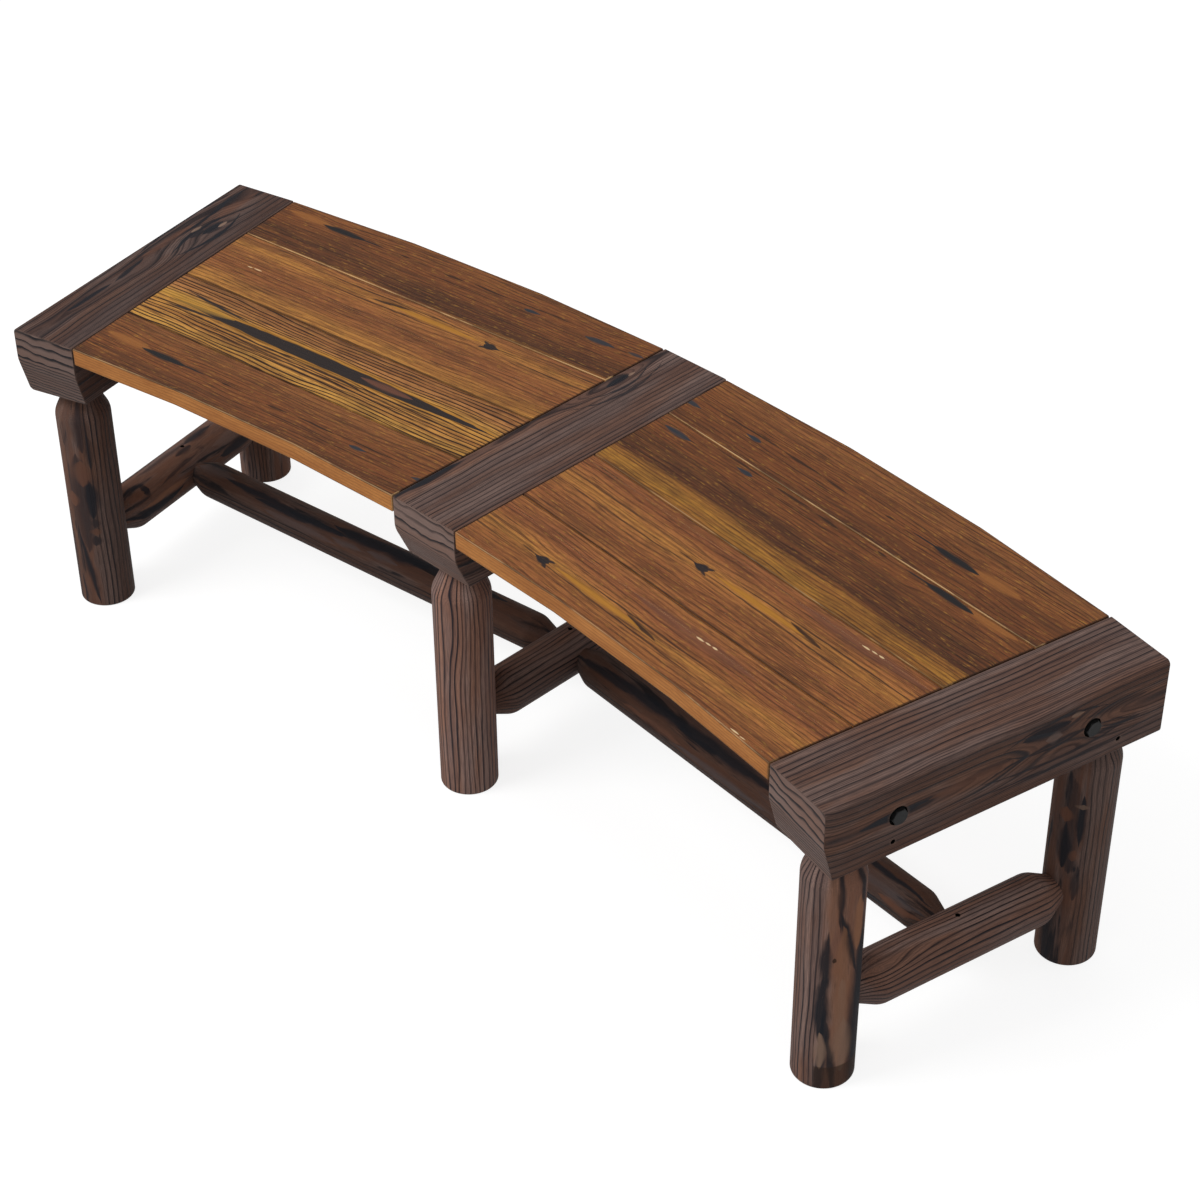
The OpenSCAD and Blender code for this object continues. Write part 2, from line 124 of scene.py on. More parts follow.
@dataclass(frozen=True)
class Plan:
    """Driving sizes of the bench, in metres, the same as in its construction.

    Pairs are distances from a bearer's front end and from its rear end.
    """
    seat_h: float = 0.450
    turn: float = math.radians(12.7)
    panel_front: float = 0.566
    bearer_l: float = 0.486
    bearer_h: float = 0.095
    end_w: float = 0.1015
    centre_w: float = 0.110
    ledger_w: float = 0.038
    leg_in: tuple[float, float] = (0.057, 0.057)
    tenon_l: float = 0.050
    stretcher_z: float = 0.109
    cross_r: float = 0.03375
    long_behind: float = 0.004
    bolt_in: tuple[float, float] = (0.100, 0.111)
    bolt_drop: float = 0.048
    recess: float = 0.0035
    screw_in: tuple[float, float] = (0.095, 0.068)
    screw_drop: float = 0.083
    screw_sunk: float = 0.009

    @property
    def half(self) -> float:
        """Turn of a panel, which is half of the end bearer's."""
        return self.turn / 2

    @property
    def corner(self) -> np.ndarray:
        """Front corner between the right panel and its end bearer, before the shift."""
        return np.array([self.centre_w / 2 + self.panel_front * math.cos(self.half),
                         -self.panel_front * math.sin(self.half)])

    @property
    def middle(self) -> np.ndarray:
        """Middle of the right bearer's front end, before the shift."""
        return self.corner + self.end_w / 2 * np.array([math.cos(self.turn), -math.sin(self.turn)])

    @property
    def shift(self) -> float:
        """Shift along Y that puts the origin at the middle of the bench's box."""
        reach = self.corner[1] - self.end_w * math.sin(self.turn)
        return -(self.bearer_l + reach) / 2

    def bearer(self, spot: Spot, along: float = 0.0, z: float = 0.0) -> Place:
        """Return a bearer's frame, X to its rear and Y to its left, this far behind its front."""
        side = spot.value
        y = (self.middle[1] if side else 0.0) + self.shift
        return Place(side * self.middle[0], y, z, QUARTER - side * self.turn).slid(along)

    def across(self, spot: Spot, row: float, drop: float, to_left: bool, far: float = 0.0) -> Place:
        """Return a frame whose X points across a bearer.

        Args:
            spot: which bearer.
            row: distance behind its front end.
            drop: depth below the seat.
            to_left: whether X points to the left, not to the right.
            far: how far along X from the bearer's middle line the origin lies.

        Returns:
            The frame.
        """
        at = self.bearer(spot, row, self.seat_h - drop)
        return replace(at, yaw=at.yaw + (QUARTER if to_left else -QUARTER)).slid(far)

    def panel(self, side: Spot) -> Place:
        """Return the frame of a seat panel: X along its front edge, Y to the rear, Z = 0 on top."""
        if side is Spot.RIGHT:
            return Place(self.centre_w / 2, self.shift, self.seat_h, -self.half)
        return Place(-self.corner[0], self.corner[1] + self.shift, self.seat_h, self.half)

    def rows(self, insets: tuple[float, float]) -> tuple[float, float]:
        """Return the distances from a bearer's front end of a pair of insets."""
        return insets[0], self.bearer_l - insets[1]

    def long_row(self) -> float:
        """Return the distance of the long stretchers from the bearers' front ends."""
        return self.bearer_l / 2 + self.long_behind


PLAN = Plan()


@dataclass
class Surface:
    """Points, faces and values at the points of one closed shape."""
    points: np.ndarray
    faces: list[np.ndarray]
    values: dict[str, np.ndarray] = field(default_factory=dict)

    def outward(self) -> "Surface":
        """Return the shape with its faces pointing outwards, judged by its signed volume."""
        volume = 0.0
        for block in self.faces:
            corners = self.points[block]
            for k in range(1, block.shape[1] - 1):
                normal = np.cross(corners[:, k], corners[:, k + 1])
                volume += np.einsum("ij,ij->", corners[:, 0], normal)
        if volume < 0:
            return Surface(self.points, [block[:, ::-1] for block in self.faces], self.values)
        return self

    def placed(self, place: Place) -> "Surface":
        """Return the shape carried from a timber's frame to the bench."""
        return Surface(place.world(self.points), self.faces, self.values)


def joined(shapes: Sequence[Surface]) -> Surface:
    """Put closed shapes without values into one, renumbering the faces of each after the last."""
    start = 0
    blocks = []
    for shape in shapes:
        blocks.extend(block + start for block in shape.faces)
        start += len(shape.points)
    return Surface(np.concatenate([shape.points for shape in shapes]), blocks)


def spun(radius: np.ndarray, along: np.ndarray, poles: Sequence[float] | None) -> Surface:
    """Turn rows of points round the X axis: y = r sin a and z = r cos a, a over a full turn.

    Args:
        radius: distances from the axis, rows by steps.
        along: places on X, rows by steps or by one.
        poles: places of the two points that close the ends, or None where the rows are a loop.

    Returns:
        The closed shape.
    """
    steps = radius.shape[1]
    angle = np.arange(steps) * 2 * math.pi / steps
    along = np.broadcast_to(along, radius.shape)
    points = np.stack([along, radius * np.sin(angle), radius * np.cos(angle)], axis=-1).reshape(-1, 3)
    number = np.arange(radius.size).reshape(radius.shape)
    ahead = np.roll(number, -1, axis=1)
    if poles is None:
        quads = [number, ahead, np.roll(ahead, -1, axis=0), np.roll(number, -1, axis=0)]
        return Surface(points, [np.stack(quads, axis=-1).reshape(-1, 4)]).outward()
    quads = np.stack([number[:-1], ahead[:-1], ahead[1:], number[1:]], axis=-1).reshape(-1, 4)
    fans = np.concatenate([
        np.stack([np.full(steps, number.size), ahead[0], number[0]], axis=-1),
        np.stack([np.full(steps, number.size + 1), number[-1], ahead[-1]], axis=-1)])
    ends = np.array([[place, 0.0, 0.0] for place in poles])
    return Surface(np.concatenate([points, ends]), [quads, fans]).outward()


def revolve(outline: Sequence[Sequence[float]], steps: int, ripple: np.ndarray | float = 1.0,
            ring: bool = False) -> Surface:
    """Turn an outline round the X axis.

    Args:
        outline: rows of radius and place along X, from axis to axis or round a ring.
        steps: number of steps round the axis.
        ripple: factor on the radius for every row off the axis and every step.
        ring: whether the last row joins the first, as on a washer.

    Returns:
        The closed shape.
    """
    every = np.array(outline)
    rows = every if ring else every[1:-1]
    radius = rows[:, :1] * np.broadcast_to(ripple, (len(rows), steps))
    return spun(radius, rows[:, 1:], None if ring else (every[0, 1], every[-1, 1]))


@dataclass(frozen=True)
class Section:
    """Cross-section of a sawn timber: levels from bottom to top, each with its two edges.

    The corners on each side are rounded. At a distance d from a face, a corner of radius r draws
    the edge in by r - sqrt(r^2 - (r - d)^2).
    """
    width: float
    height: float
    left_r: float
    right_r: float
    steps: int = 8
    wear: tuple[float, float] = (0.003, 0.008)
    extra: tuple[float, ...] = ()

    @staticmethod
    def _draw_in(distance: np.ndarray, radius: float) -> np.ndarray:
        """Return how far a corner of this radius draws the edge in at each distance."""
        inside = np.clip(radius - distance, 0.0, radius)
        return radius - np.sqrt(np.maximum(radius ** 2 - inside ** 2, 0.0))

    def levels(self) -> np.ndarray:
        """Return the heights of all levels, dense where the corners are round."""
        rise = 1 - np.cos(np.linspace(0.0, QUARTER, self.steps + 1))
        near = np.concatenate([self.left_r * rise, self.right_r * rise, self.wear])
        every = np.sort(np.concatenate([-near, near - self.height, -np.array(self.extra)]))
        return every[np.concatenate([[True], np.diff(every) > 0.00006])]

    def grid(self) -> np.ndarray:
        """Return the section as an array of levels by columns, each entry its (y, z).

        Y grows to the left of the timber's run. Columns lie at the wear distances from both
        edges and at even steps between them.
        """
        z = self.levels()
        up, down = -z, z + self.height
        left, right = (self.width / 2 - self._draw_in(up, r) - self._draw_in(down, r)
                       for r in (self.left_r, self.right_r))
        near = np.array([0.0, *self.wear]) / self.width
        share = np.concatenate([near, np.linspace(0.2, 0.8, 5), 1 - near[::-1]])
        y = -right[:, None] + (left + right)[:, None] * share
        return np.stack([y, np.broadcast_to(z[:, None], y.shape)], axis=-1)


def billet(section: Section, length: float, arris: float, marks: Sequence[float] = (),
           step: float = 0.030, sharp_sides: tuple[bool, bool] = (True, True)) -> Surface:
    """Carry a section along X with both ends eased by a small quarter round.

    Near an end, at an angle a, the section lies arris * (1 - cos a) from the end and is drawn in
    by arris * (1 - sin a). Two values go with the points: 'arris', the distance to the nearest
    sharp edge up to 8 mm, and 'cap', which is one on the end faces.

    Args:
        section: the cross-section.
        length: length of the timber.
        arris: radius of the eased ends.
        marks: further places along X where the shape needs a ring.
        step: widest gap between two rings.
        sharp_sides: whether the long edges on the left and on the right are sharp ones.

    Returns:
        The closed shape, still straight, with its points in the order of its grid.
    """
    grid = section.grid()
    turn = np.radians([0.0, 30.0, 60.0, 90.0])
    flat = np.zeros(len(section.wear))
    near = np.concatenate([arris * (1 - np.cos(turn)), section.wear])
    drawn = np.concatenate([arris * (1 - np.sin(turn)), flat])
    cap = np.concatenate([1 - np.sin(turn), flat])
    inner = np.linspace(near[-1], length - near[-1], max(2, int(length / step)))[1:-1]
    wanted = np.array([mark for mark in marks if near[-1] < mark < length - near[-1]])
    if wanted.size:
        clear = np.min(np.abs(inner[:, None] - wanted), axis=1) > 0.004
        inner = np.sort(np.concatenate([inner[clear], wanted]))
    rest = np.zeros(len(inner))
    x = np.concatenate([near, inner, length - near[::-1]])
    inset = np.concatenate([drawn, rest, drawn[::-1]])[:, None, None, None]
    centre = np.array([0.0, -section.height / 2])
    points = np.empty((len(x), *grid.shape[:2], 3))
    points[..., 0] = x[:, None, None]
    size = np.array([section.width, section.height])
    points[..., 1:] = centre + (grid - centre) * (1 - 2 * inset / size)
    blunt = [0.0 if sharp else 1.0 for sharp in sharp_sides]
    to_side = section.width / 2 - np.abs(grid[..., 0]) + np.where(grid[..., 0] > 0, *blunt)
    to_face = np.minimum(-grid[..., 1], grid[..., 1] + section.height)
    to_end = np.minimum(x, length - x)[:, None, None]
    gaps = np.sort(np.stack(np.broadcast_arrays(to_side, to_face, to_end), axis=-1), axis=-1)
    edge = np.clip(gaps[..., 1], 0.0, section.wear[-1])
    number = np.arange(edge.size).reshape(edge.shape)
    loop = np.concatenate([number[:, 0, :], number[:, 1:, -1], number[:, -1, -2::-1],
                           number[:, -2:0:-1, 0]], axis=1)
    ahead = np.roll(loop, -1, axis=1)
    sides = np.stack([loop[:-1], ahead[:-1], ahead[1:], loop[1:]], axis=-1).reshape(-1, 4)
    cells = np.stack([number[:, :-1, :-1], number[:, 1:, :-1], number[:, 1:, 1:], number[:, :-1, 1:]],
                     axis=-1)
    caps = [cells[0].reshape(-1, 4), cells[-1].reshape(-1, 4)[:, ::-1]]
    used, renumbered = np.unique(np.concatenate([sides, *caps]), return_inverse=True)
    on_cap = np.concatenate([cap, rest, cap[::-1]])[:, None, None]
    values = {"arris": edge.reshape(-1)[used],
              "cap": np.broadcast_to(on_cap, number.shape).reshape(-1)[used]}
    return Surface(points.reshape(-1, 3)[used], [renumbered.reshape(-1, 4)], values).outward()


def cylinder(radius: float, start: float, end: float, place: Place) -> Surface:
    """Return a plain closed cutter along the X axis of a frame."""
    outline = [[0.0, start], [radius, start], [radius, end], [0.0, end]]
    return revolve(outline, SCREW_STEPS).placed(place)


def smooth(mesh: bpy.types.Mesh, sharp: float) -> None:
    """Shade a mesh smooth except across edges that turn by more degrees than this."""
    mesh.polygons.foreach_set("use_smooth", np.ones(len(mesh.polygons), dtype=bool))
    mesh.set_sharp_from_angle(angle=math.radians(sharp))


def make_object(name: str, shape: Surface, sharp: float = SHARP) -> bpy.types.Object:
    """Put a shape into a new object at the origin.

    Args:
        name: the object's name.
        shape: the shape, in the bench's frame.
        sharp: edges that turn by more degrees than this stay sharp.

    Returns:
        The new object.
    """
    mesh = bpy.data.meshes.new(name)
    faces = [face for block in shape.faces for face in block.tolist()]
    mesh.from_pydata(shape.points.tolist(), [], faces)
    for key, numbers in shape.values.items():
        layer = mesh.attributes.new(key, "FLOAT", "POINT")
        layer.data.foreach_set("value", numbers.astype(np.float32))
    smooth(mesh, sharp)
    mesh.validate()
    obj = bpy.data.objects.new(name, mesh)
    bpy.context.scene.collection.objects.link(obj)
    return obj


def carve(obj: bpy.types.Object, cutters: Sequence[Surface], sharp: float = SHARP) -> None:
    """Cut closed shapes that don't touch each other out of an object, and keep the result."""
    knife = make_object(obj.name + "_knife", joined(cutters))
    cut = obj.modifiers.new("cut", "BOOLEAN")
    cut.operation = "DIFFERENCE"
    cut.solver = "EXACT"
    cut.object = knife
    graph = bpy.context.evaluated_depsgraph_get()
    result = bpy.data.meshes.new_from_object(obj.evaluated_get(graph))
    obj.modifiers.remove(cut)
    old = obj.data
    obj.data = result
    result.name = obj.name
    smooth(result, sharp)
    bpy.data.meshes.remove(old)
    bpy.data.objects.remove(knife)


def finish_piece(obj: bpy.types.Object, material: bpy.types.Material, slot: Slot, *nodes: str) -> None:
    """Dress a piece, let it ride on the frame and stand for its nodes.

    Args:
        obj: the piece.
        material: its finish.
        slot: the record's slot that the finish belongs to; not used.
        nodes: the nodes that the piece stands for.
    """
    obj.data.materials.clear()
    obj.data.materials.append(material)
    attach(obj, "root")
    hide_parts(*nodes)
    LOG.info("%s: %d faces for %s", obj.name, len(obj.data.polygons), ", ".join(nodes))


class Wire:
    """A node's output. Its sums, products and quotients add Math nodes to the same tree."""

    def __init__(self, graph: "Graph", socket: Socket) -> None:
        """Remember the graph and the output."""
        self.graph = graph
        self.socket = socket

    def __add__(self, other: "Value") -> "Wire":
        """Return the sum."""
        return self.graph.math("ADD", self, other)

    def __sub__(self, other: "Value") -> "Wire":
        """Return the difference."""
        return self.graph.math("SUBTRACT", self, other)

    def __rsub__(self, other: "Value") -> "Wire":
        """Return the difference from a number."""
        return self.graph.math("SUBTRACT", other, self)

    def __mul__(self, other: "Value") -> "Wire":
        """Return the product."""
        return self.graph.math("MULTIPLY", self, other)

    def __truediv__(self, other: "Value") -> "Wire":
        """Return the quotient."""
        return self.graph.math("DIVIDE", self, other)


Value = float | Sequence[float] | Enum | Wire


class Graph:
    """Adds shader nodes to one tree and joins them up."""

    def __init__(self, tree: bpy.types.NodeTree) -> None:
        """Remember the tree that the nodes go into."""
        self.tree = tree

    def feed(self, socket: Socket, value: Value) -> None:
        """Give an input socket a number, a row of numbers, an ink or a wire."""
        if isinstance(value, Wire):
            self.tree.links.new(value.socket, socket)
        else:
            socket.default_value = value.value if isinstance(value, Enum) else value

    def add(self, kind: str, inputs: dict | None = None, **settings: object) -> bpy.types.Node:
        """Add a node of a kind, with its settings and values by the inputs' names or numbers."""
        node = self.tree.nodes.new(kind)
        for key, value in settings.items():
            setattr(node, key, value)
        for key, value in (inputs or {}).items():
            self.feed(node.inputs[key], value)
        return node

    def get(self, kind: str, inputs: dict | None = None, output: int | str = 0, **settings: object) -> Wire:
        """Add a node and return one of its outputs."""
        return Wire(self, self.add(kind, inputs, **settings).outputs[output])

    def math(self, operation: str, *values: Value) -> Wire:
        """Return the result of one Math node."""
        return self.get("ShaderNodeMath", dict(enumerate(values)), operation=operation)

    def ramp(self, value: Value, low: Value, high: Value, start: float = 0.0, end: float = 1.0) -> Wire:
        """Return a smooth step from start to end as the value goes from low to high."""
        return self.get("ShaderNodeMapRange", {0: value, 1: low, 2: high, 3: start, 4: end},
                        interpolation_type="SMOOTHSTEP")

    def line(self, value: Value, low: float, high: float, start: float, end: float) -> Wire:
        """Return a straight blend from start to end as the value goes from low to high."""
        return self.get("ShaderNodeMapRange", {0: value, 1: low, 2: high, 3: start, 4: end})

    def mix(self, factor: Value, first: Value, second: Value) -> Wire:
        """Return a blend of two colours."""
        return self.get("ShaderNodeMix", {0: factor, 6: first, 7: second}, 2, data_type="RGBA",
                        clamp_factor=True)

    def blend(self, factor: Value, first: Value, second: Value) -> Wire:
        """Return a blend of two numbers."""
        return self.get("ShaderNodeMix", {0: factor, 2: first, 3: second}, data_type="FLOAT",
                        clamp_factor=True)

    def scaled(self, vector: Value, scale: Sequence[float], shift: Sequence[float] = (0, 0, 0)) -> Wire:
        """Return a vector multiplied part by part, then shifted."""
        return self.get("ShaderNodeVectorMath", {0: vector, 1: scale, 2: shift}, operation="MULTIPLY_ADD")

    def noise(self, vector: Value, scale: Sequence[float], detail: float = 2.0, roughness: float = 0.5,
              shift: Sequence[float] = (0, 0, 0), distortion: float = 0.0) -> Wire:
        """Return noise from 0 to 1 of a vector stretched by a scale along each axis."""
        return self.get("ShaderNodeTexNoise", {
            "Vector": self.scaled(vector, scale, shift), "Scale": 1.0, "Detail": detail,
            "Roughness": roughness, "Distortion": distortion})

    def parts(self, vector: Value) -> tuple[Wire, ...]:
        """Return the three parts of a vector."""
        node = self.add("ShaderNodeSeparateXYZ", {0: vector})
        return tuple(Wire(self, output) for output in node.outputs)

    def join(self, x: Value, y: Value, z: Value) -> Wire:
        """Return the vector of three numbers."""
        return self.get("ShaderNodeCombineXYZ", {0: x, 1: y, 2: z})

    def group(self, tree: bpy.types.NodeTree, **inputs: Value) -> dict[str, Wire]:
        """Place a node group with its values and return its outputs by name."""
        node = self.tree.nodes.new("ShaderNodeGroup")
        node.node_tree = tree
        for key, value in inputs.items():
            self.feed(node.inputs[key], value)
        return {output.name: Wire(self, output) for output in node.outputs}


def new_group(name: str, inputs: Sequence[str], outputs: Sequence[str], kind: str = "Float") -> tuple[
        Graph, dict[str, Wire], bpy.types.Node]:
    """Start a node group with named sockets.

    Args:
        name: the group's name.
        inputs: names of the inputs.
        outputs: names of the number outputs.
        kind: Float or Vector, for all inputs.

    Returns:
        The graph to fill, its inputs by name and the node that takes its outputs.
    """
    tree = bpy.data.node_groups.new(name, "ShaderNodeTree")
    for label in inputs:
        tree.interface.new_socket(label, in_out="INPUT", socket_type="NodeSocket" + kind)
    for label in outputs:
        tree.interface.new_socket(label, in_out="OUTPUT", socket_type="NodeSocketFloat")
    g = Graph(tree)
    start = g.add("NodeGroupInput")
    given = {label: Wire(g, start.outputs[label]) for label in inputs}
    return g, given, g.add("NodeGroupOutput")


class Ink(Enum):
    """Colours that marks on the timbers are drawn in."""
    CHAR = srgb(38, 36, 37)
    BLUE = srgb(44, 52, 60)
    DARK = srgb(52, 36, 28)
    UMBER = srgb(78, 50, 34)
    RUST = srgb(122, 70, 40)
    TAN = srgb(156, 100, 52)
    GOLD = srgb(178, 122, 44)
    AMBER = srgb(196, 146, 62)
    CREAM = srgb(226, 196, 150)
    PLUM = srgb(112, 72, 56)
    ROAST = srgb(112, 76, 60)
    ASH = srgb(126, 106, 98)
    PALE = srgb(150, 122, 104)
    NIGHT = srgb(30, 32, 38)
    CLAY = srgb(150, 106, 80)
    # Near black, painted as the shade inside holes and recesses.
    HOLE_SHADE = srgb(7, 7, 8)
    STEEL = srgb(86, 80, 82)


@dataclass(frozen=True)
class Mark:
    """One streak on a face, in millimetres along and across it. A row of Marks holds the same."""
    u: float
    v: float
    half_l: float
    half_w: float
    strength: float = 1.0
    soft: float = 0.5
    slope: float = 0.0
    bend: float = 0.0
    taper: float = 0.0


Marks = dict[Ink, Sequence[Sequence[float]]]


@dataclass(frozen=True)
class Hill:
    """One swelling of the ring field on a face, in millimetres."""
    u: float
    v: float
    length: float
    width: float
    height: float


class Effects:
    """Node groups that several finishes share, each built once."""

    def __init__(self) -> None:
        """Build all groups."""
        self.streak = self._streak()
        self.swell = self._swell()
        self.late_wood = self._late_wood()
        self.fibre = self._fibre()

    @staticmethod
    def _streak() -> bpy.types.NodeTree:
        """Lens-shaped streak with pointed ends.

        With t the square of the distance from the middle over the half length, the streak's
        centre line lies at v + slope * du + bend * t, and its half width there is
        (1 - t) * (1 + taper * du / half length) times the widest one.
        """
        names = ["at_u", "at_v", *(entry.name for entry in fields(Mark))]
        g, i, end = new_group("streak", names, ["mask"])
        run = i["at_u"] - i["u"]
        share = run / i["half_l"]
        square = share * share
        body = g.math("MAXIMUM", 1.0 - square, 0.0)
        off = g.math("ABSOLUTE", i["at_v"] - (run * i["slope"] + i["v"] + square * i["bend"]))
        width = body * (share * i["taper"] + 1.0) * i["half_w"]
        ratio = off / g.math("MAXIMUM", width, 0.01)
        soft = g.ramp(ratio, i["soft"] + 1.0, 1.0 - i["soft"])
        g.feed(end.inputs["mask"], soft * i["strength"])
        return g.tree

    @staticmethod
    def _swell() -> bpy.types.NodeTree:
        """Hill in the ring field, which makes the grain flow round a knot.

        Its lift is its height times exp(-(du / length)^2 - (dv / width)^2).
        """
        names = ["at_u", "at_v", *(entry.name for entry in fields(Hill))]
        g, i, end = new_group("swell", names, ["lift"])
        du = (i["at_u"] - i["u"]) / i["length"]
        dv = (i["at_v"] - i["v"]) / i["width"]
        hill = g.math("EXPONENT", (du * du + dv * dv) * -1.0)
        g.feed(end.inputs["lift"], hill * i["height"])
        return g.tree

    @staticmethod
    def _late_wood() -> bpy.types.NodeTree:
        """Dark late wood in every growth ring, with a chance place and strength, and the ring's tone.

        With p the part of the ring that is past, plus a fifth of the ring's tone, the line rises
        over its width up to p = 0.86 and falls sharply from 0.90 to 1.
        """
        g, i, end = new_group("late_wood", ["field", "spacing", "width"], ["line", "tone"])
        phase = i["field"] / i["spacing"]
        chance = g.get("ShaderNodeTexWhiteNoise", {"W": g.math("FLOOR", phase)}, "Color",
                       noise_dimensions="1D")
        tone, force, _ = g.parts(chance)
        part = tone * 0.2 + g.math("FRACT", phase)
        line = g.ramp(part, 0.86 - i["width"], 0.86) * g.ramp(part, 0.90, 1.0, 1.0, 0.0)
        g.feed(end.inputs["line"], line * g.line(force, 0.0, 1.0, 0.60, 1.0))
        g.feed(end.inputs["tone"], tone)
        return g.tree

    @staticmethod
    def _fibre() -> bpy.types.NodeTree:
        """Fine fibres along the grain, and broader brushed grooves among them."""
        g, i, end = new_group("fibre", ["vector"], ["fine", "groove"], kind="Vector")
        g.feed(end.inputs["fine"], g.noise(i["vector"], (0.05, 1.6, 1.6), 3.0, 0.6))
        g.feed(end.inputs["groove"], g.noise(i["vector"], (0.012, 0.55, 0.55), shift=(7, 3, 1)))
        return g.tree


class Finish(Graph):
    """A material with one Principled shader, and the drawing tools for its colours."""

    def __init__(self, name: str, effects: Effects | None = None) -> None:
        """Start the material with its shader, and keep the shared groups at hand."""
        self.material = bpy.data.materials.new(name)
        self.material.use_nodes = True
        self.material.node_tree.nodes.clear()
        super().__init__(self.material.node_tree)
        self.effects = effects
        self.shader = self.add("ShaderNodeBsdfPrincipled")
        self.output = self.add("ShaderNodeOutputMaterial", {0: Wire(self, self.shader.outputs[0])})

    def timber_point(self, place: Place) -> Wire:
        """Return the shading point in a timber's own frame, in millimetres."""
        return self.get("ShaderNodeMapping", {
            "Vector": self.get("ShaderNodeTexCoord", None, "Object"),
            "Location": (place.x, place.y, place.z), "Scale": (MM, MM, MM),
            "Rotation": (0.0, -QUARTER if place.upright else 0.0, place.yaw)}, vector_type="TEXTURE")

    def value(self, name: str) -> Wire:
        """Return a value that goes with the mesh's points."""
        return self.get("ShaderNodeAttribute", None, "Fac", attribute_name=name)

    def rings(self, field_: Wire, spacing: float, width: float) -> dict[str, Wire]:
        """Return the line and the tone of the growth rings of a field, in millimetres."""
        return self.group(self.effects.late_wood, field=field_, spacing=spacing, width=width)

    def fibre(self, vector: Wire) -> dict[str, Wire]:
        """Return the fine fibres and the grooves at a point."""
        return self.group(self.effects.fibre, vector=vector)

    def tints(self, colour: Wire, *rows: tuple[Wire, float, float, float, Ink]) -> Wire:
        """Mix inks into a colour one by one: a value, where it starts and ends, its most, the ink."""
        for value, low, high, most, ink in rows:
            colour = self.mix(self.ramp(value, low, high, 0.0, most), colour, ink)
        return colour

    def lifted(self, field_: Wire, u: Wire, v: Wire, hills: Sequence[Hill]) -> Wire:
        """Return a ring field raised by every hill at its place on a face."""
        for hill in hills:
            field_ = field_ + self.group(self.effects.swell, at_u=u, at_v=v, **vars(hill))["lift"]
        return field_

    def paint(self, colour: Wire, u: Wire, v: Wire, marks: Marks, limit: Wire | None = None) -> Wire:
        """Lay marks over a colour, all marks of one ink at a time.

        Args:
            colour: the colour underneath.
            u: millimetres along the face.
            v: millimetres across it, with the wobble of the marks' edges.
            marks: the marks.
            limit: mask of the face that the marks lie on, or None for no limit.

        Returns:
            The painted colour.
        """
        for ink, rows in marks.items():
            masks = [self.group(self.effects.streak, at_u=u, at_v=v, **vars(Mark(*row)))["mask"]
                     for row in rows]
            total = masks[0]
            for mask in masks[1:]:
                total = self.math("MAXIMUM", total, mask)
            colour = self.mix(total if limit is None else total * limit, colour, ink)
        return colour

    def coated(self, colour: Value, roughness: Value, gloss: float, height: Wire,
               depth: float) -> bpy.types.Material:
        """Join up the shader.

        Args:
            colour: base colour.
            roughness: roughness.
            gloss: specular level.
            height: relief from 0 to 1.
            depth: depth of that relief in metres.

        Returns:
            The finished material.
        """
        relief = self.get("ShaderNodeBump", {"Height": height, "Distance": depth, "Strength": 1.0})
        for name, value in (("Base Color", colour), ("Roughness", roughness),
                            ("Specular IOR Level", gloss), ("Normal", relief)):
            self.feed(self.shader.inputs[name], value)
        return self.material


@dataclass(frozen=True)
class CharredFinish:
    """Charred and brushed softwood: grey-lilac to brown, with dark growth lines."""
    lilac: Colour = srgb(132, 108, 99)
    brown: Colour = srgb(126, 92, 76)
    umber: Colour = srgb(84, 62, 56)
    late: Colour = srgb(26, 22, 26)
    soot: Colour = srgb(44, 40, 44)
    nose: Colour = srgb(146, 124, 116)
    wear: Colour = srgb(132, 110, 100)
    gloss: float = 0.12
    relief: float = 0.0008

    def ground(self, g: Finish, vector: Wire, field_: Wire, spacing: float, keep: Value,
               thin_keep: Value, seed: float) -> tuple[Wire, Wire, Wire]:
        """Draw the bare charred wood.

        Args:
            g: the finish to draw in.
            vector: the point in the timber's frame.
            field_: ring field in millimetres.
            spacing: millimetres from one bold growth line to the next.
            keep: how strongly the growth lines show.
            thin_keep: how strongly the thin lines between them show.
            seed: shift that makes each timber its own.

        Returns:
            The colour, the height for its relief and the mask of the bold lines.
        """
        bold = g.rings(field_, spacing, 0.36)
        thin = g.rings(field_, spacing * 0.29, 0.45)
        fibre = g.fibre(vector)
        cloud = g.noise(vector, (0.005, 0.03, 0.03), 3.0, shift=(seed, 0, 0))
        colour = g.mix(g.ramp(cloud, 0.40, 0.60), self.lilac, self.brown)
        colour = g.mix(bold["tone"] * 0.55, colour, self.umber)
        colour = g.mix(g.line(fibre["fine"], 0.40, 0.64, 0.0, 0.50), colour, self.soot)
        fade = g.noise(vector, (0.008, 0.05, 0.05), shift=(0, seed, 5))
        fine = thin["line"] * g.ramp(fade, 0.35, 0.60, 0.25, 0.85) * thin_keep
        colour = g.mix(fine * keep, colour, self.late)
        line = bold["line"] * keep * g.ramp(fade, 0.7, 0.4, 0.6, 1.0)
        colour = g.mix(line, colour, self.late)
        return colour, line * 0.7 + fibre["groove"] * 0.5 + fibre["fine"] * 0.25, line


CHARRED = CharredFinish()


@dataclass(frozen=True)
class BearerGrain:
    """How the rings and marks lie in one bearer, in millimetres.

    The pith runs along the bearer at (pith_across, pith_up) from the middle of its top face.
    """
    pith_across: float
    pith_up: float
    spacing: float
    seed: float
    top: Marks = field(default_factory=dict)
    outer: Marks = field(default_factory=dict)
    hills: tuple[Hill, ...] = ()
    outer_hills: tuple[Hill, ...] = ()
    dim: float = 0.0
    tilt: float = 0.0
    nose_keep: float = 1.8


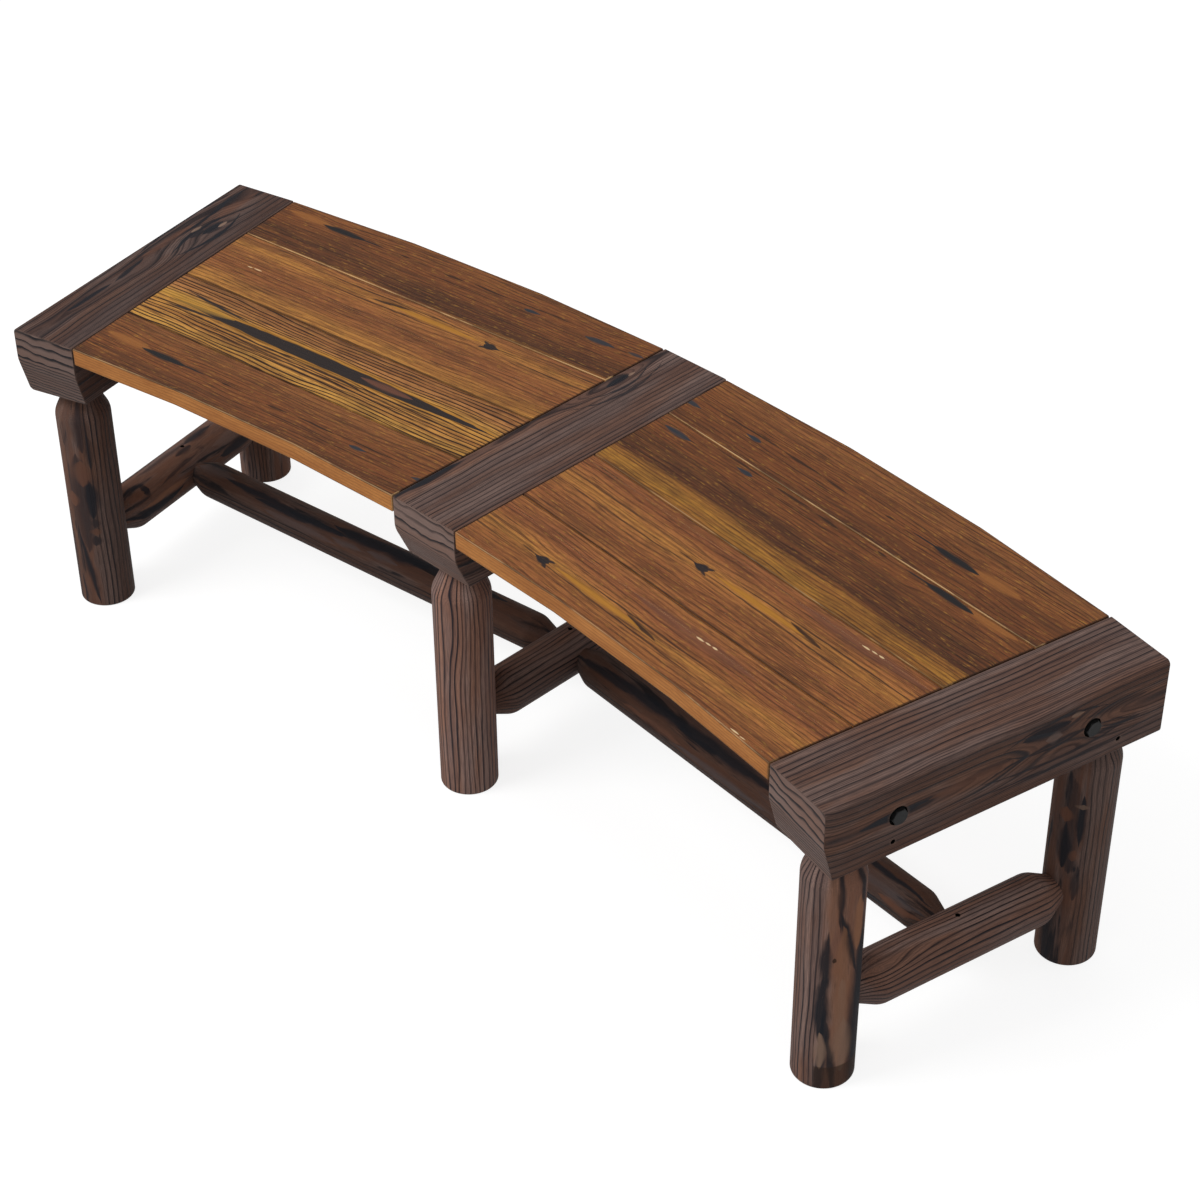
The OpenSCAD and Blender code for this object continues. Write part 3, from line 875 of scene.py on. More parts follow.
LEFT_GRAIN = BearerGrain(
    15, -25, 7.6, 3.0, dim=0.34, hills=(Hill(345, 6, 75, 26, 16), Hill(340, 40, 110, 22, -10)), top={
        Ink.NIGHT: ((118, 18, 46, 5, 0.95), (205, 20, 38, 4, 0.9, 0.5, 0.12), (360, -3, 24, 8, 0.95, 0.6),
                    (334, 6, 16, 5, 0.8, 0.6), (342, -22, 74, 3.2, 0.95, 0.5, 0, 14),
                    (342, 11, 78, 3.4, 0.95, 0.5, 0, -15), (350, 22, 118, 3.2, 0.95, 0.5, 0, 15),
                    (352, 47, 112, 2.8, 0.9, 0.5, 0, -9), (440, 30, 34, 5, 0.7, 0.6)),
        Ink.PALE: ((345, 15, 12, 2, 0.6, 0.7), (376, -8, 10, 2.2, 0.7, 0.6)),
        Ink.ROAST: ((300, 28, 60, 5, 0.5, 0.8), (430, 10, 50, 8, 0.4, 0.8))})
CENTRE_GRAIN = BearerGrain(
    50, -25, 6.6, 9.0, tilt=0.04, nose_keep=1.25, hills=(Hill(370, 46, 60, 16, -10),), top={
        Ink.NIGHT: ((385, 43, 24, 6, 0.95), (380, 26, 62, 2.0, 0.8, 0.5, 0, 18),
                    (375, 16, 92, 2.0, 0.75, 0.5, 0, 24), (50, 50, 70, 4, 0.8)),
        Ink.PALE: ((408, 42, 7, 2.5, 0.7, 0.6),)})
RIGHT_GRAIN = BearerGrain(
    -77, -45, 7.0, 17.0, tilt=0.12, outer_hills=(Hill(325, -36, 60, 22, 12), Hill(330, -60, 90, 16, 8)),
    outer={
        Ink.NIGHT: ((95, -45, 50, 5, 0.9), (306, -24, 36, 9, 0.9, 0.6), (322, -13, 80, 2.2, 0.8, 0.5, 0, -13),
                    (318, -50, 72, 2.2, 0.8, 0.5, 0, 14), (330, -44, 118, 2.4, 0.8, 0.5, 0, -14),
                    (330, -70, 118, 2.2, 0.75, 0.5, 0, 12), (330, -80, 150, 2.0, 0.7, 0.5, 0, 8),
                    (225, -40, 36, 5, 0.6, 0.6), (318, -37, 7, 3, 0.5, 0.6), (410, -60, 40, 4, 0.8, 0.6),
                    (408, -30, 46, 7, 0.55, 0.7)),
        Ink.ASH: ((318, -37, 13, 6, 0.55, 0.6),),
        Ink.PALE: ((350, -18, 10, 3, 0.6, 0.6),),
        Ink.ROAST: ((200, -45, 60, 7, 0.5, 0.8),)})


def bearer_material(name: str, place: Place, width: float, outer: int, grain: BearerGrain,
                    effects: Effects) -> bpy.types.Material:
    """Make the charred finish of one bearer.

    The ring field is the distance from the pith, lifted by the hills round the knots. Behind the
    nose the outer face's lines bend up by 7 exp(-x / 18) millimetres. On the end faces the field
    is spacing * (h / 13 + min(h + 42, 0) (1 / 5.5 - 1 / 13)): bold waves above fine level lines,
    with h = z + tilt * (half width + outward), and the fibres run across.

    Args:
        name: the material's name.
        place: the bearer's frame, with Z = 0 on its top.
        width: the bearer's width in metres.
        outer: 1 where the outer face is on the frame's left, -1 where it is on its right.
        grain: its rings and marks.
        effects: the shared groups.

    Returns:
        The material.
    """
    g = Finish(name, effects)
    vector = g.timber_point(place)
    x, y, z = g.parts(vector)
    half = width / 2 / MM
    sway = g.noise(vector, (0.006, 0.02, 0.02), shift=(grain.seed, 2, 4)) - 0.5
    outward = y * float(outer)
    on_outer = g.ramp(outward, half - 6.0, half - 2.0)
    bent = g.math("EXPONENT", x * (-1 / 18)) * on_outer
    across = y - grain.pith_across
    up = z - grain.pith_up - bent * 7.0
    field_ = g.math("SQRT", across * across + up * up) + sway * 9.0
    field_ = g.lifted(field_, x, y, grain.hills)
    field_ = g.lifted(field_, x, z, grain.outer_hills)
    tilted = (outward + half) * grain.tilt + z
    low = g.math("MINIMUM", tilted + 42.0, 0.0)
    level = (low * (1 / 5.5 - 1 / 13) + tilted / 13) * grain.spacing + sway * 12.0
    on_cap = g.ramp(g.value("cap"), 0.3, 0.6)
    field_ = g.blend(on_cap, field_, level)
    along = g.join(g.blend(on_cap, x, y), g.blend(on_cap, y, x), z)
    keep = g.line(on_cap, 0.0, 1.0, 1.0, grain.nose_keep)
    colour, height, line = CHARRED.ground(g, along, field_, grain.spacing, keep, 1.0 - on_cap, grain.seed)
    if grain.dim > 0:
        colour = g.mix(grain.dim, colour, CHARRED.late)
    colour = g.mix(on_cap * g.line(line, 0.0, 1.0, 0.36, 0.0), colour, CHARRED.nose)
    wobble = g.noise(vector, (0.03, 0.12, 0.12), shift=(1, grain.seed, 0))
    push = (wobble - 0.5) * 7.0
    colour = g.paint(colour, x, y + push, grain.top, g.ramp(z, -3.0, -1.5))
    colour = g.paint(colour, x, z + push, grain.outer, on_outer)
    # Real wear lightens the bearer's edges.
    edge_wear_and_shade = g.ramp(wobble * 0.0022 + g.value("arris"), 0.0030, 0.0012)
    colour = g.mix(edge_wear_and_shade * 0.22, colour, CHARRED.wear)
    # Painted shade: surfaces 0.9 to 12 mm inside the outer face (bolt recesses, bores and screw holes) are
    # painted near black, as the shade that falls inside them.
    sunk = g.ramp(outward, half - 0.3, half - 0.9) * g.ramp(outward, half - 14.0, half - 12.0)
    sunk = sunk * g.math("COMPARE", x, PLAN.bearer_l / MM / 2, 222.0) * g.math("COMPARE", z, -52.0, 37.0)
    colour = g.mix(sunk, colour, Ink.HOLE_SHADE)
    return g.coated(colour, g.line(line, 0.0, 1.0, 0.80, 0.60), CHARRED.gloss, height, CHARRED.relief)


@dataclass(frozen=True)
class LogGrain:
    """How a turned log is figured, in millimetres along it and round it.

    Round the log, v = radius * angle runs from the side that faces front right. Growth lines
    cover the stretch from lines_from to lines_to, and the rest shows broad flat-sawn figure,
    which is dark up to band. The light factor scales the colours of the bare wood as painted
    light and shade: above one it brightens a log that the lamp leaves dim, and on the long
    stretchers it paints the shadow that the seat casts on them.
    """
    radius: float
    seed: float
    count: int = 34
    lines_from: float = -400.0
    lines_to: float = 400.0
    # Painted light and shade: a factor on the bare wood's colours.
    light: float = 1.0
    marks: Marks = field(default_factory=dict)
    hills: tuple[Hill, ...] = ()
    thin: float = 0.35
    band: float = 0.0


def log_material(name: str, place: Place, grain: LogGrain, effects: Effects,
                 screws: Sequence[float] = ()) -> bpy.types.Material:
    """Make the charred finish of one turned log.

    Args:
        name: the material's name.
        place: the log's frame, X along its axis.
        grain: its figure.
        effects: the shared groups.
        screws: where its screw holes lie along it, in metres; their walls get painted shade.

    Returns:
        The material.
    """
    g = Finish(name, effects)
    vector = g.timber_point(place)
    x, y, z = g.parts(vector)
    v = g.math("ARCTAN2", y, z) * grain.radius
    sway = g.noise(vector, (0.005, 0.03, 0.03), shift=(grain.seed, 1, 2)) - 0.5
    field_ = g.lifted(v + sway * 16.0, x, v, grain.hills)
    spacing = 2 * math.pi * grain.radius / grain.count
    rim = v + sway * 10.0
    zone = (g.ramp(rim, grain.lines_from - 3, grain.lines_from + 3)
            * g.ramp(rim, grain.lines_to - 3, grain.lines_to + 3, 1.0, 0.0))
    colour, height, line = CHARRED.ground(g, vector, field_, spacing, g.blend(zone, 0.12, 1.25),
                                          grain.thin, grain.seed)
    figure = g.noise(g.join(x, v, 0.0), (0.0075, 0.055, 1.0), 3.0, 0.6,
                     (grain.seed * 1.7, grain.seed, 0), 0.6)
    plain = 1.0 - zone
    colour = g.mix(g.ramp(figure, 0.42, 0.60) * plain * 0.6, colour, Ink.ROAST)
    colour = g.mix(g.ramp(figure, 0.44, 0.34) * plain * 0.85, colour, Ink.NIGHT)
    # Painted light and shade: the light factor scales the bare wood's colours before the marks go on.
    colour = g.scaled(colour, (grain.light,) * 3)
    push = (g.noise(vector, (0.03, 0.12, 0.12), shift=(1, grain.seed, 0)) - 0.5) * 8.0
    colour = g.paint(colour, x, v + push, grain.marks)
    if grain.band > 0:
        foot = g.ramp(x, grain.band + 1.5, grain.band - 1.5) * plain
        colour = g.mix(foot * 0.72, colour, Ink.DARK)
    # Painted shade: the walls of each screw hole are painted near black, as the shade that falls inside it.
    for along in screws:
        deep = g.ramp(g.math("SQRT", y * y + z * z), grain.radius - 0.2, grain.radius - 0.7)
        colour = g.mix(deep * g.math("COMPARE", x, along / MM, 5.0), colour, Ink.HOLE_SHADE)
    return g.coated(colour, g.line(line, 0.0, 1.0, 0.78, 0.58), CHARRED.gloss, height, CHARRED.relief)


@dataclass(frozen=True)
class Figure:
    """The figure of one plank, in millimetres from its chosen middle: u along and v across.

    The stripes are screen colours by their places across.
    """
    stripes: dict[float, tuple[int, int, int]]
    marks: Marks
    hills: tuple[Hill, ...]
    spacing: float
    line_strength: float


LENS = Figure(
    {-128: (158, 106, 46), -108: (182, 128, 52), -90: (164, 110, 50), -80: (84, 50, 34),
     -48: (92, 56, 36), -36: (126, 74, 42), 0: (132, 78, 44), 28: (142, 88, 50), 58: (152, 98, 58)},
    {Ink.TAN: ((-66, 2, 44, 8, 0.7, 0.7),),
     Ink.CHAR: ((0, 0, 42, 6.2, 1.0, 0.5, 0.02), (48, 1, 26, 1.6, 0.9)),
     Ink.DARK: ((113, 1, 9, 1.6, 0.9), (204, -2, 20, 2.0, 0.85, 0.5, 0.03),
                (270, 0, 34, 2.0, 0.85, 0.5, -0.02), (362, 1.5, 66, 1.3, 0.9), (235, -16, 64, 1.3, 0.8)),
     Ink.BLUE: ((350, -8, 15, 3.6, 0.95, 0.5, 0, 0, -0.6), (470, -14, 26, 5, 0.9), (530, -12, 14, 3.5, 0.8)),
     Ink.UMBER: ((120, 27, 110, 2.0, 0.5), (330, 28, 90, 2.4, 0.5), (-180, -8, 90, 12, 0.45, 0.8),
                 (60, -30, 160, 5, 0.45, 0.7))},
    (Hill(0, 14, 70, 12, 5), Hill(0, -14, 70, 12, -5)), spacing=6.1, line_strength=0.8)
ARROW = Figure(
    {-110: (206, 144, 70), -88: (196, 134, 66), -66: (168, 106, 60), -40: (152, 92, 54),
     -12: (176, 114, 62), 4: (196, 134, 66), 14: (182, 118, 64), 34: (148, 88, 55),
     54: (164, 102, 60), 76: (190, 126, 68), 110: (194, 132, 70)},
    {Ink.NIGHT: ((2, 0, 14, 6, 0.95, 0.25, 0, 0, -0.9), (-9, 4, 8, 2.6, 0.9, 0.5, -0.35),
                 (-8, -5, 9, 2.6, 0.9, 0.5, 0.4)),
     Ink.DARK: ((26, 1, 16, 1.3, 0.8), (-178, 4, 32, 3, 0.9, 0.5, 0.14), (-190, 12, 170, 1.2, 0.8),
                (-170, -8, 180, 1.2, 0.75, 0.5, 0.02), (150, -10, 120, 1.4, 0.7), (160, 12, 130, 1.3, 0.6)),
     Ink.GOLD: ((-100, 2, 80, 5, 0.75, 0.7),),
     Ink.PLUM: ((-230, 40, 110, 9, 0.55, 0.8),),
     Ink.CREAM: ((-262, 42.8, 4.6, 1.1, 0.9), (-251, 42.2, 5, 1.1, 0.85), (-238, 41.4, 7, 1.2, 0.9),
                 (-402, -39.4, 5, 1.1, 0.85), (-388, -38.4, 8, 1.2, 0.9))},
    (Hill(0, 16, 60, 14, 6), Hill(0, -16, 60, 14, -6)), spacing=6.8, line_strength=0.68)
BLADE = Figure(
    {-70: (218, 160, 74), -52: (222, 164, 78), -34: (204, 142, 72), -10: (214, 154, 72),
     10: (220, 162, 80), 24: (194, 132, 76), 60: (160, 106, 62)},
    {Ink.GOLD: ((290, 0, 296, 15, 0.75, 0.3),),
     Ink.NIGHT: ((290, -1, 286, 11.5, 0.96, 0.12), (78, 18, 66, 2.4, 0.9, 0.5, -0.1),
                 (62, -11, 52, 2.2, 0.9, 0.5, 0.1)),
     Ink.AMBER: ((40, 5, 80, 10, 0.5, 0.7),),
     Ink.PLUM: ((395, 1, 46, 6, 0.8, 0.6),),
     Ink.DARK: ((290, -20, 260, 1.5, 0.9, 0.5, 0, 4), (280, -26, 270, 1.3, 0.85, 0.5, 0, 4),
                (300, -32, 260, 1.3, 0.8, 0.5, 0, 4), (260, -38, 280, 1.2, 0.7, 0.5, 0, 3))},
    (Hill(250, -6, 260, 30, -5),), spacing=6.8, line_strength=2.0)


@dataclass(frozen=True)
class PlankFinish:
    """Oiled brown softwood: its figure, where that has its middle on the panel, and its way.

    A pale painted highlight lies along its front top edge, where light catches the rounded arris; the factor
    after the seed sets how strong it is.
    """
    figure: Figure
    u: float
    v: float
    seed: float
    painted_highlight: float = 0.0
    backwards: bool = False
    late: Colour = srgb(44, 27, 20)
    sawn_pale: Colour = srgb(204, 138, 76)
    sawn_dark: Colour = srgb(176, 114, 62)
    # Colour of the painted highlight on the front top edge.
    bare: Colour = srgb(214, 172, 122)
    gloss: float = 0.14
    relief: float = 0.0004

    def broad(self, g: Finish, across: Wire) -> Wire:
        """Return the broad stripes of the figure at a place across it."""
        stripes = self.figure.stripes
        low, high = min(stripes), max(stripes)
        ramp = g.add("ShaderNodeValToRGB", {0: g.line(across, low, high, 0.0, 1.0)})
        stops = ramp.color_ramp.elements
        while len(stops) < len(stripes):
            stops.new(0.5)
        for stop, (v, screen) in zip(stops, stripes.items()):
            stop.position = (v - low) / (high - low)
            stop.color = srgb(*screen)
        return Wire(g, ramp.outputs[0])

    def material(self, name: str, place: Place, front: float, effects: Effects) -> bpy.types.Material:
        """Make the finish of one seat board.

        Args:
            name: the material's name.
            place: the panel's frame, with Z = 0 on its top.
            front: millimetres from the panel's front to the board's.
            effects: the shared groups.

        Returns:
            The material.
        """
        g = Finish(name, effects)
        vector = g.timber_point(place)
        x, y, z = g.parts(vector)
        u = (x - self.u) * (-1.0 if self.backwards else 1.0)
        v = y - self.v
        seed, figure = self.seed, self.figure
        sway = g.noise(vector, (0.0045, 0.02, 0.02), shift=(seed * 3, seed, 0)) - 0.5
        tongue = g.noise(vector, (0.0032, 0.09, 0.09), 3.0, 0.55, (seed * 7, 3, 0))
        cloud = g.noise(vector, (0.008, 0.035, 0.035), 4.0, 0.6, (seed, 8, 0))
        mottle = g.noise(vector, (0.06, 0.30, 0.30), 3.0, 0.65, (seed, 6, 2))
        fade = g.noise(vector, (0.010, 0.05, 0.05), 3.0, shift=(seed, 0, 4))
        dash = g.noise(vector, (0.016, 0.8, 0.8), shift=(seed * 5, 0, 9))
        wobble = g.noise(vector, (0.03, 0.15, 0.15), shift=(1, seed, 0))
        fibre = g.fibre(vector)
        colour = g.tints(self.broad(g, sway * 30.0 + v), (tongue, 0.52, 0.55, 0.42, Ink.RUST),
                         (tongue, 0.43, 0.40, 0.35, Ink.UMBER), (cloud, 0.46, 0.66, 0.36, Ink.UMBER),
                         (cloud, 0.50, 0.26, 0.40, Ink.TAN), (mottle, 0.55, 0.70, 0.48, Ink.RUST),
                         (mottle, 0.45, 0.32, 0.42, Ink.AMBER))
        rings = g.rings(g.lifted(sway * 26.0 + v, u, v, figure.hills), figure.spacing, 0.34)
        line = rings["line"] * (g.ramp(fade, 0.32, 0.55, 0.45, 1.0) * figure.line_strength)
        colour = g.mix(line, colour, self.late)
        colour = g.mix(g.line(fibre["fine"], 0.42, 0.66, 0.0, 0.55), colour, Ink.DARK)
        colour = g.mix(g.line(fibre["groove"], 0.48, 0.30, 0.0, 0.35), colour, Ink.TAN)
        colour = g.tints(colour, (dash, 0.58, 0.70, 0.95, Ink.DARK))
        colour = g.paint(colour, u, v + (wobble - 0.5) * 4.0, figure.marks, g.ramp(z, -3.0, -1.5))
        sawn = g.mix(g.ramp(cloud, 0.3, 0.7), self.sawn_pale, self.sawn_dark)
        sawn = g.mix(g.rings(sway * 14.0 + z, 4.2, 0.4)["line"] * 0.40, sawn, Ink.UMBER)
        sawn = g.mix(g.line(fibre["fine"], 0.35, 0.75, 0.0, 0.5), sawn, Ink.RUST)
        colour = g.mix(g.ramp(z, -1.2, -2.4), colour, sawn)
        edge = g.value("arris")
        # Painted shade: the rounded edges, which run down into the joints between the boards, are darkened
        # with the shade that falls there.
        edge_wear_and_shade = g.ramp(wobble * 0.0022 + edge, 0.0036, 0.0016)
        # Painted highlight: a pale cream line along the board's front top arris, where light catches it; it
        # also holds back the painted shade there.
        painted_highlight = (g.ramp(y, front + 16.0, front + 10.0, 0.0, self.painted_highlight)
                 * g.ramp(cloud, 0.56, 0.44, 0.3, 1.0))
        colour = g.mix(edge_wear_and_shade * (0.8 - painted_highlight), colour, Ink.DARK)
        colour = g.mix(g.ramp(edge, 0.0016, 0.0006) * painted_highlight, colour, self.bare)
        height = line * 0.5 + fibre["groove"] * 0.5 + fibre["fine"] * 0.3
        return g.coated(colour, g.line(fibre["fine"], 0.2, 0.8, 0.62, 0.78), self.gloss, height, self.relief)


PLANKS = {
    (Spot.LEFT, 1): PlankFinish(LENS, 112, 60, 1.0, 0.5),
    (Spot.LEFT, 2): PlankFinish(BLADE, 0, 180, 2.0),
    (Spot.LEFT, 3): PlankFinish(ARROW, 435, 343, 3.0),
    (Spot.LEFT, 4): PlankFinish(LENS, 70, 457, 4.0, 0.8),
    (Spot.RIGHT, 1): PlankFinish(ARROW, 113, 46, 5.0, 0.5, True),
    (Spot.RIGHT, 2): PlankFinish(ARROW, 245, 181, 6.0, 0.0, True),
    (Spot.RIGHT, 3): PlankFinish(LENS, 475, 363, 7.0, 0.45, True),
    (Spot.RIGHT, 4): PlankFinish(LENS, 425, 423.5, 8.0, 0.8, True),
}


def ledger_material(place: Place, effects: Effects, name: str) -> bpy.types.Material:
    """Make the matt stained finish of a hidden ledger."""
    g = Finish(name, effects)
    vector = g.timber_point(place)
    fibre = g.fibre(vector)
    colour = g.mix(g.noise(vector, (0.01, 0.05, 0.05), 3.0), srgb(112, 78, 54), srgb(86, 60, 46))
    colour = g.mix(g.line(fibre["fine"], 0.3, 0.8, 0.0, 0.6), colour, Ink.DARK)
    return g.coated(colour, g.line(fibre["groove"], 0.2, 0.8, 0.65, 0.8), 0.5, fibre["fine"], 0.0005)


@dataclass(frozen=True)
class MetalFinish:
    """A coated or plated steel."""
    name: str
    dark: Colour
    light: Colour
    metallic: float
    smooth: float
    rough: float
    gloss: float = 0.5

    def material(self) -> bpy.types.Material:
        """Return the finish: two tones of its colour in small clouds, with a fine grained coat."""
        g = Finish(self.name)
        point = g.get("ShaderNodeTexCoord", None, "Object")
        cloud = g.noise(point, (220, 220, 220), 4.0)
        g.feed(g.shader.inputs["Metallic"], self.metallic)
        return g.coated(g.mix(g.ramp(cloud, 0.35, 0.7), self.dark, self.light),
                        g.line(cloud, 0.2, 0.8, self.smooth, self.rough), self.gloss,
                        g.noise(point, (1900, 1900, 1900)), 0.00012)


BLACK_COAT = MetalFinish("black_coat", srgb(8, 8, 9), srgb(18, 18, 19), 0.0, 0.50, 0.66, 0.22)
ZINC_COAT = MetalFinish("zinc_coat", srgb(150, 146, 132), srgb(190, 186, 172), 1.0, 0.32, 0.5)


@dataclass(frozen=True)
class Bearer:
    """One heavy bearer, with its nose, its rounded outer edges and its sockets."""
    spot: Spot
    grain: BearerGrain
    width: float
    nose_back: float
    lean: float = 0.0
    upright_h: float = 0.047
    nose_ease: float = 0.040
    outer_r: float = 0.006
    arris: float = 0.0015
    recess_r: float = 0.0125
    bolt_hole_r: float = 0.0065
    screw_r: float = 0.0032
    socket_r: float = 0.0193
    mouth: float = 0.004
    over: float = 0.002

    def nose(self, z: np.ndarray) -> np.ndarray:
        """Return how far the front end draws back at a height below the top.

        It is zero on the upright part, then follows an arc of the easing radius, and from there
        a straight slope to nose_back at the bottom.
        """
        slope = math.atan(self.nose_back / (PLAN.bearer_h - self.upright_h))
        down = -z - (self.upright_h - self.nose_ease * math.tan(slope / 2))
        end = self.nose_ease * math.sin(slope)
        arc = self.nose_ease - np.sqrt(self.nose_ease ** 2 - np.clip(down, 0.0, end) ** 2)
        return arc + np.clip(down - end, 0.0, None) * math.tan(slope)

    def place(self) -> Place:
        """Return the bearer's frame, with Z = 0 on its top."""
        return PLAN.bearer(self.spot, z=PLAN.seat_h)

    def surface(self) -> Surface:
        """Return the bearer: a billet with a leaning underside and a sloping nose.

        Depths grow by the factor 1 + lean / height * share, where share runs from 0 at the inner
        face to 1 at the outer one. Then points slide along X by nose(z) * (1 - x / length).
        """
        eased = (self.spot is Spot.LEFT, self.spot is Spot.RIGHT)
        radii = [self.outer_r if outer else self.arris for outer in eased]
        section = Section(self.width, PLAN.bearer_h, *radii, extra=tuple(np.linspace(0.036, 0.066, 8)))
        shape = billet(section, PLAN.bearer_l, self.arris, sharp_sides=(not eased[0], not eased[1]))
        to_outer = shape.points[:, 1] * (1 if self.spot is Spot.LEFT else -1)
        shape.points[:, 2] *= 1 + self.lean / PLAN.bearer_h * (0.5 + to_outer / self.width)
        x, z = shape.points[:, 0], shape.points[:, 2]
        shape.points[:, 0] = x + self.nose(z) * (1 - x / PLAN.bearer_l)
        return shape.outward().placed(self.place())

    def cutters(self) -> list[Surface]:
        """Return the cutters for leg sockets, bolt holes with their recesses, and screw holes."""
        half = self.width / 2
        low = -self.lean - self.mouth - self.over
        flare = self.socket_r + 0.475 * (self.lean + self.over)
        socket = revolve([[0.0, low], [flare, low], [self.socket_r, -self.mouth],
                          [self.socket_r, PLAN.tenon_l], [0.0, PLAN.tenon_l]], BOLT_STEPS)
        ends, hole = (-half - self.over, half + self.over), self.bolt_hole_r
        bore = [[0.0, ends[0]], [hole, ends[0]], [hole, ends[1]], [0.0, ends[1]]]
        if self.lean:
            step = half - PLAN.recess
            bore[2:3] = [[hole, step], [self.recess_r, step], [self.recess_r, ends[1]]]
        found = []
        for row in PLAN.rows(PLAN.leg_in):
            at = PLAN.bearer(self.spot, row, PLAN.seat_h - PLAN.bearer_h)
            found.append(socket.placed(replace(at, upright=True)))
        to_left = self.spot is Spot.LEFT
        for row in PLAN.rows(PLAN.bolt_in):
            at = PLAN.across(self.spot, row, PLAN.bolt_drop, to_left)
            found.append(revolve(bore, BOLT_STEPS).placed(at))
        for row in PLAN.rows(PLAN.screw_in) if self.lean else ():
            at = PLAN.across(self.spot, row, PLAN.screw_drop, to_left)
            found.append(cylinder(self.screw_r, half - PLAN.screw_sunk, half + self.over, at))
        return found

    def build(self, effects: Effects) -> None:
        """Build, cut and dress the bearer."""
        node = "bearer_" + self.spot.name.lower()
        obj = make_object(node + "_timber", self.surface())
        carve(obj, self.cutters())
        outer = 1 if self.spot is Spot.LEFT else -1
        finish = bearer_material(node + "_char", self.place(), self.width, outer, self.grain, effects)
        finish_piece(obj, finish, Slot.CHARRED, node)


@dataclass(frozen=True)
class Tip:
    """Tapered end of a turned log, measured from the joint that it runs to."""
    full_r: float
    tenon_r: float
    start: float
    taper_l: float
    stop: float
    ease_r: float = 0.030
    bevel: float = 0.0015

    def outline(self) -> np.ndarray:
        """Return rows of radius and distance from the joint, from the full radius to the tenon.

        An arc of the easing radius leads from the full radius into a cone, and the cone ends in
        a straight tenon.
        """
        slope = math.atan((self.full_r - self.tenon_r) / self.taper_l)
        lead = self.ease_r * math.tan(slope / 2)
        a = np.linspace(0.0, slope, 8)
        arc = np.stack([self.full_r - self.ease_r * (1 - np.cos(a)),
                        self.start + lead - self.ease_r * np.sin(a)], axis=-1)
        tail = [[self.tenon_r, self.start - self.taper_l], [self.tenon_r, self.stop + self.bevel],
                [self.tenon_r - self.bevel, self.stop], [0.0, self.stop]]
        return np.concatenate([arc, np.array(tail)])


def log_shape(outline: np.ndarray, place: Place) -> Surface:
    """Turn a log's outline, with more points where two lie further than 12 mm apart along X."""
    rows = [outline[:1]]
    for first, second in zip(outline[:-1], outline[1:]):
        count = max(1, math.ceil(abs(second[1] - first[1]) / 0.012))
        rows.append(first + (second - first) * np.linspace(0, 1, count + 1)[1:, None])
    return revolve(np.concatenate(rows), LOG_STEPS).placed(place)


@dataclass(frozen=True)
class Leg:
    """One round leg, with a flat sawn foot and a cone and tenon at its top."""
    spot: Spot
    row: Row
    grain: LogGrain
    tip: Tip = Tip(0.038, 0.019, 0.094, 0.040, 0.0)
    foot_r: float = 0.0025
    facing: float = math.radians(134.4)

    def place(self) -> Place:
        """Return the leg's frame: X up its axis, and its zero angle towards the front right."""
        at = PLAN.bearer(self.spot, PLAN.rows(PLAN.leg_in)[self.row.value])
        return replace(at, yaw=self.facing, upright=True)

    def outline(self) -> np.ndarray:
        """Return the leg's half outline, from the middle of its foot to the top of its tenon."""
        top = PLAN.seat_h - PLAN.bearer_h + PLAN.tenon_l
        tip = self.tip.outline()
        a = np.linspace(0.0, QUARTER, 5)
        radius, ease = self.tip.full_r, self.foot_r
        foot = np.stack([radius - ease * (1 - np.sin(a)), ease * (1 - np.cos(a))], axis=-1)
        return np.concatenate([[[0.0, 0.0]], foot, np.stack([tip[:, 0], top - tip[:, 1]], axis=-1)])

    def build(self, effects: Effects) -> None:
        """Build and dress the leg."""
        node = f"leg_{self.row.name.lower()}_{self.spot.name.lower()}"
        obj = make_object(node + "_log", log_shape(self.outline(), self.place()), LOG_SHARP)
        finish = log_material(node + "_char", self.place(), self.grain, effects)
        finish_piece(obj, finish, Slot.CHARRED, node)


@dataclass(frozen=True)
class Stretcher:
    """A turned stretcher between two joints, tapered at both ends."""
    node: str
    place: Place
    length: float
    first: Tip
    last: Tip
    grain: LogGrain
    screws: tuple[float, ...] = ()
    screw_r: float = 0.0032

    def outline(self) -> np.ndarray:
        """Return the half outline, the first tip reversed and the last one mirrored."""
        first, last = self.first.outline()[::-1], self.last.outline()
        return np.concatenate([first, np.stack([last[:, 0], self.length - last[:, 1]], axis=-1)])

    def build(self, effects: Effects) -> None:
        """Build and dress the stretcher, with its small screw holes on top."""
        obj = make_object(self.node + "_log", log_shape(self.outline(), self.place), LOG_SHARP)
        if self.screws:
            radius = self.first.full_r
            carve(obj, [cylinder(self.screw_r, radius - PLAN.screw_sunk, radius + 0.002,
                                 replace(self.place.slid(along), yaw=0.0, upright=True))
                        for along in self.screws], LOG_SHARP)
        finish = log_material(self.node + "_char", self.place, self.grain, effects, self.screws)
        finish_piece(obj, finish, Slot.CHARRED, self.node)


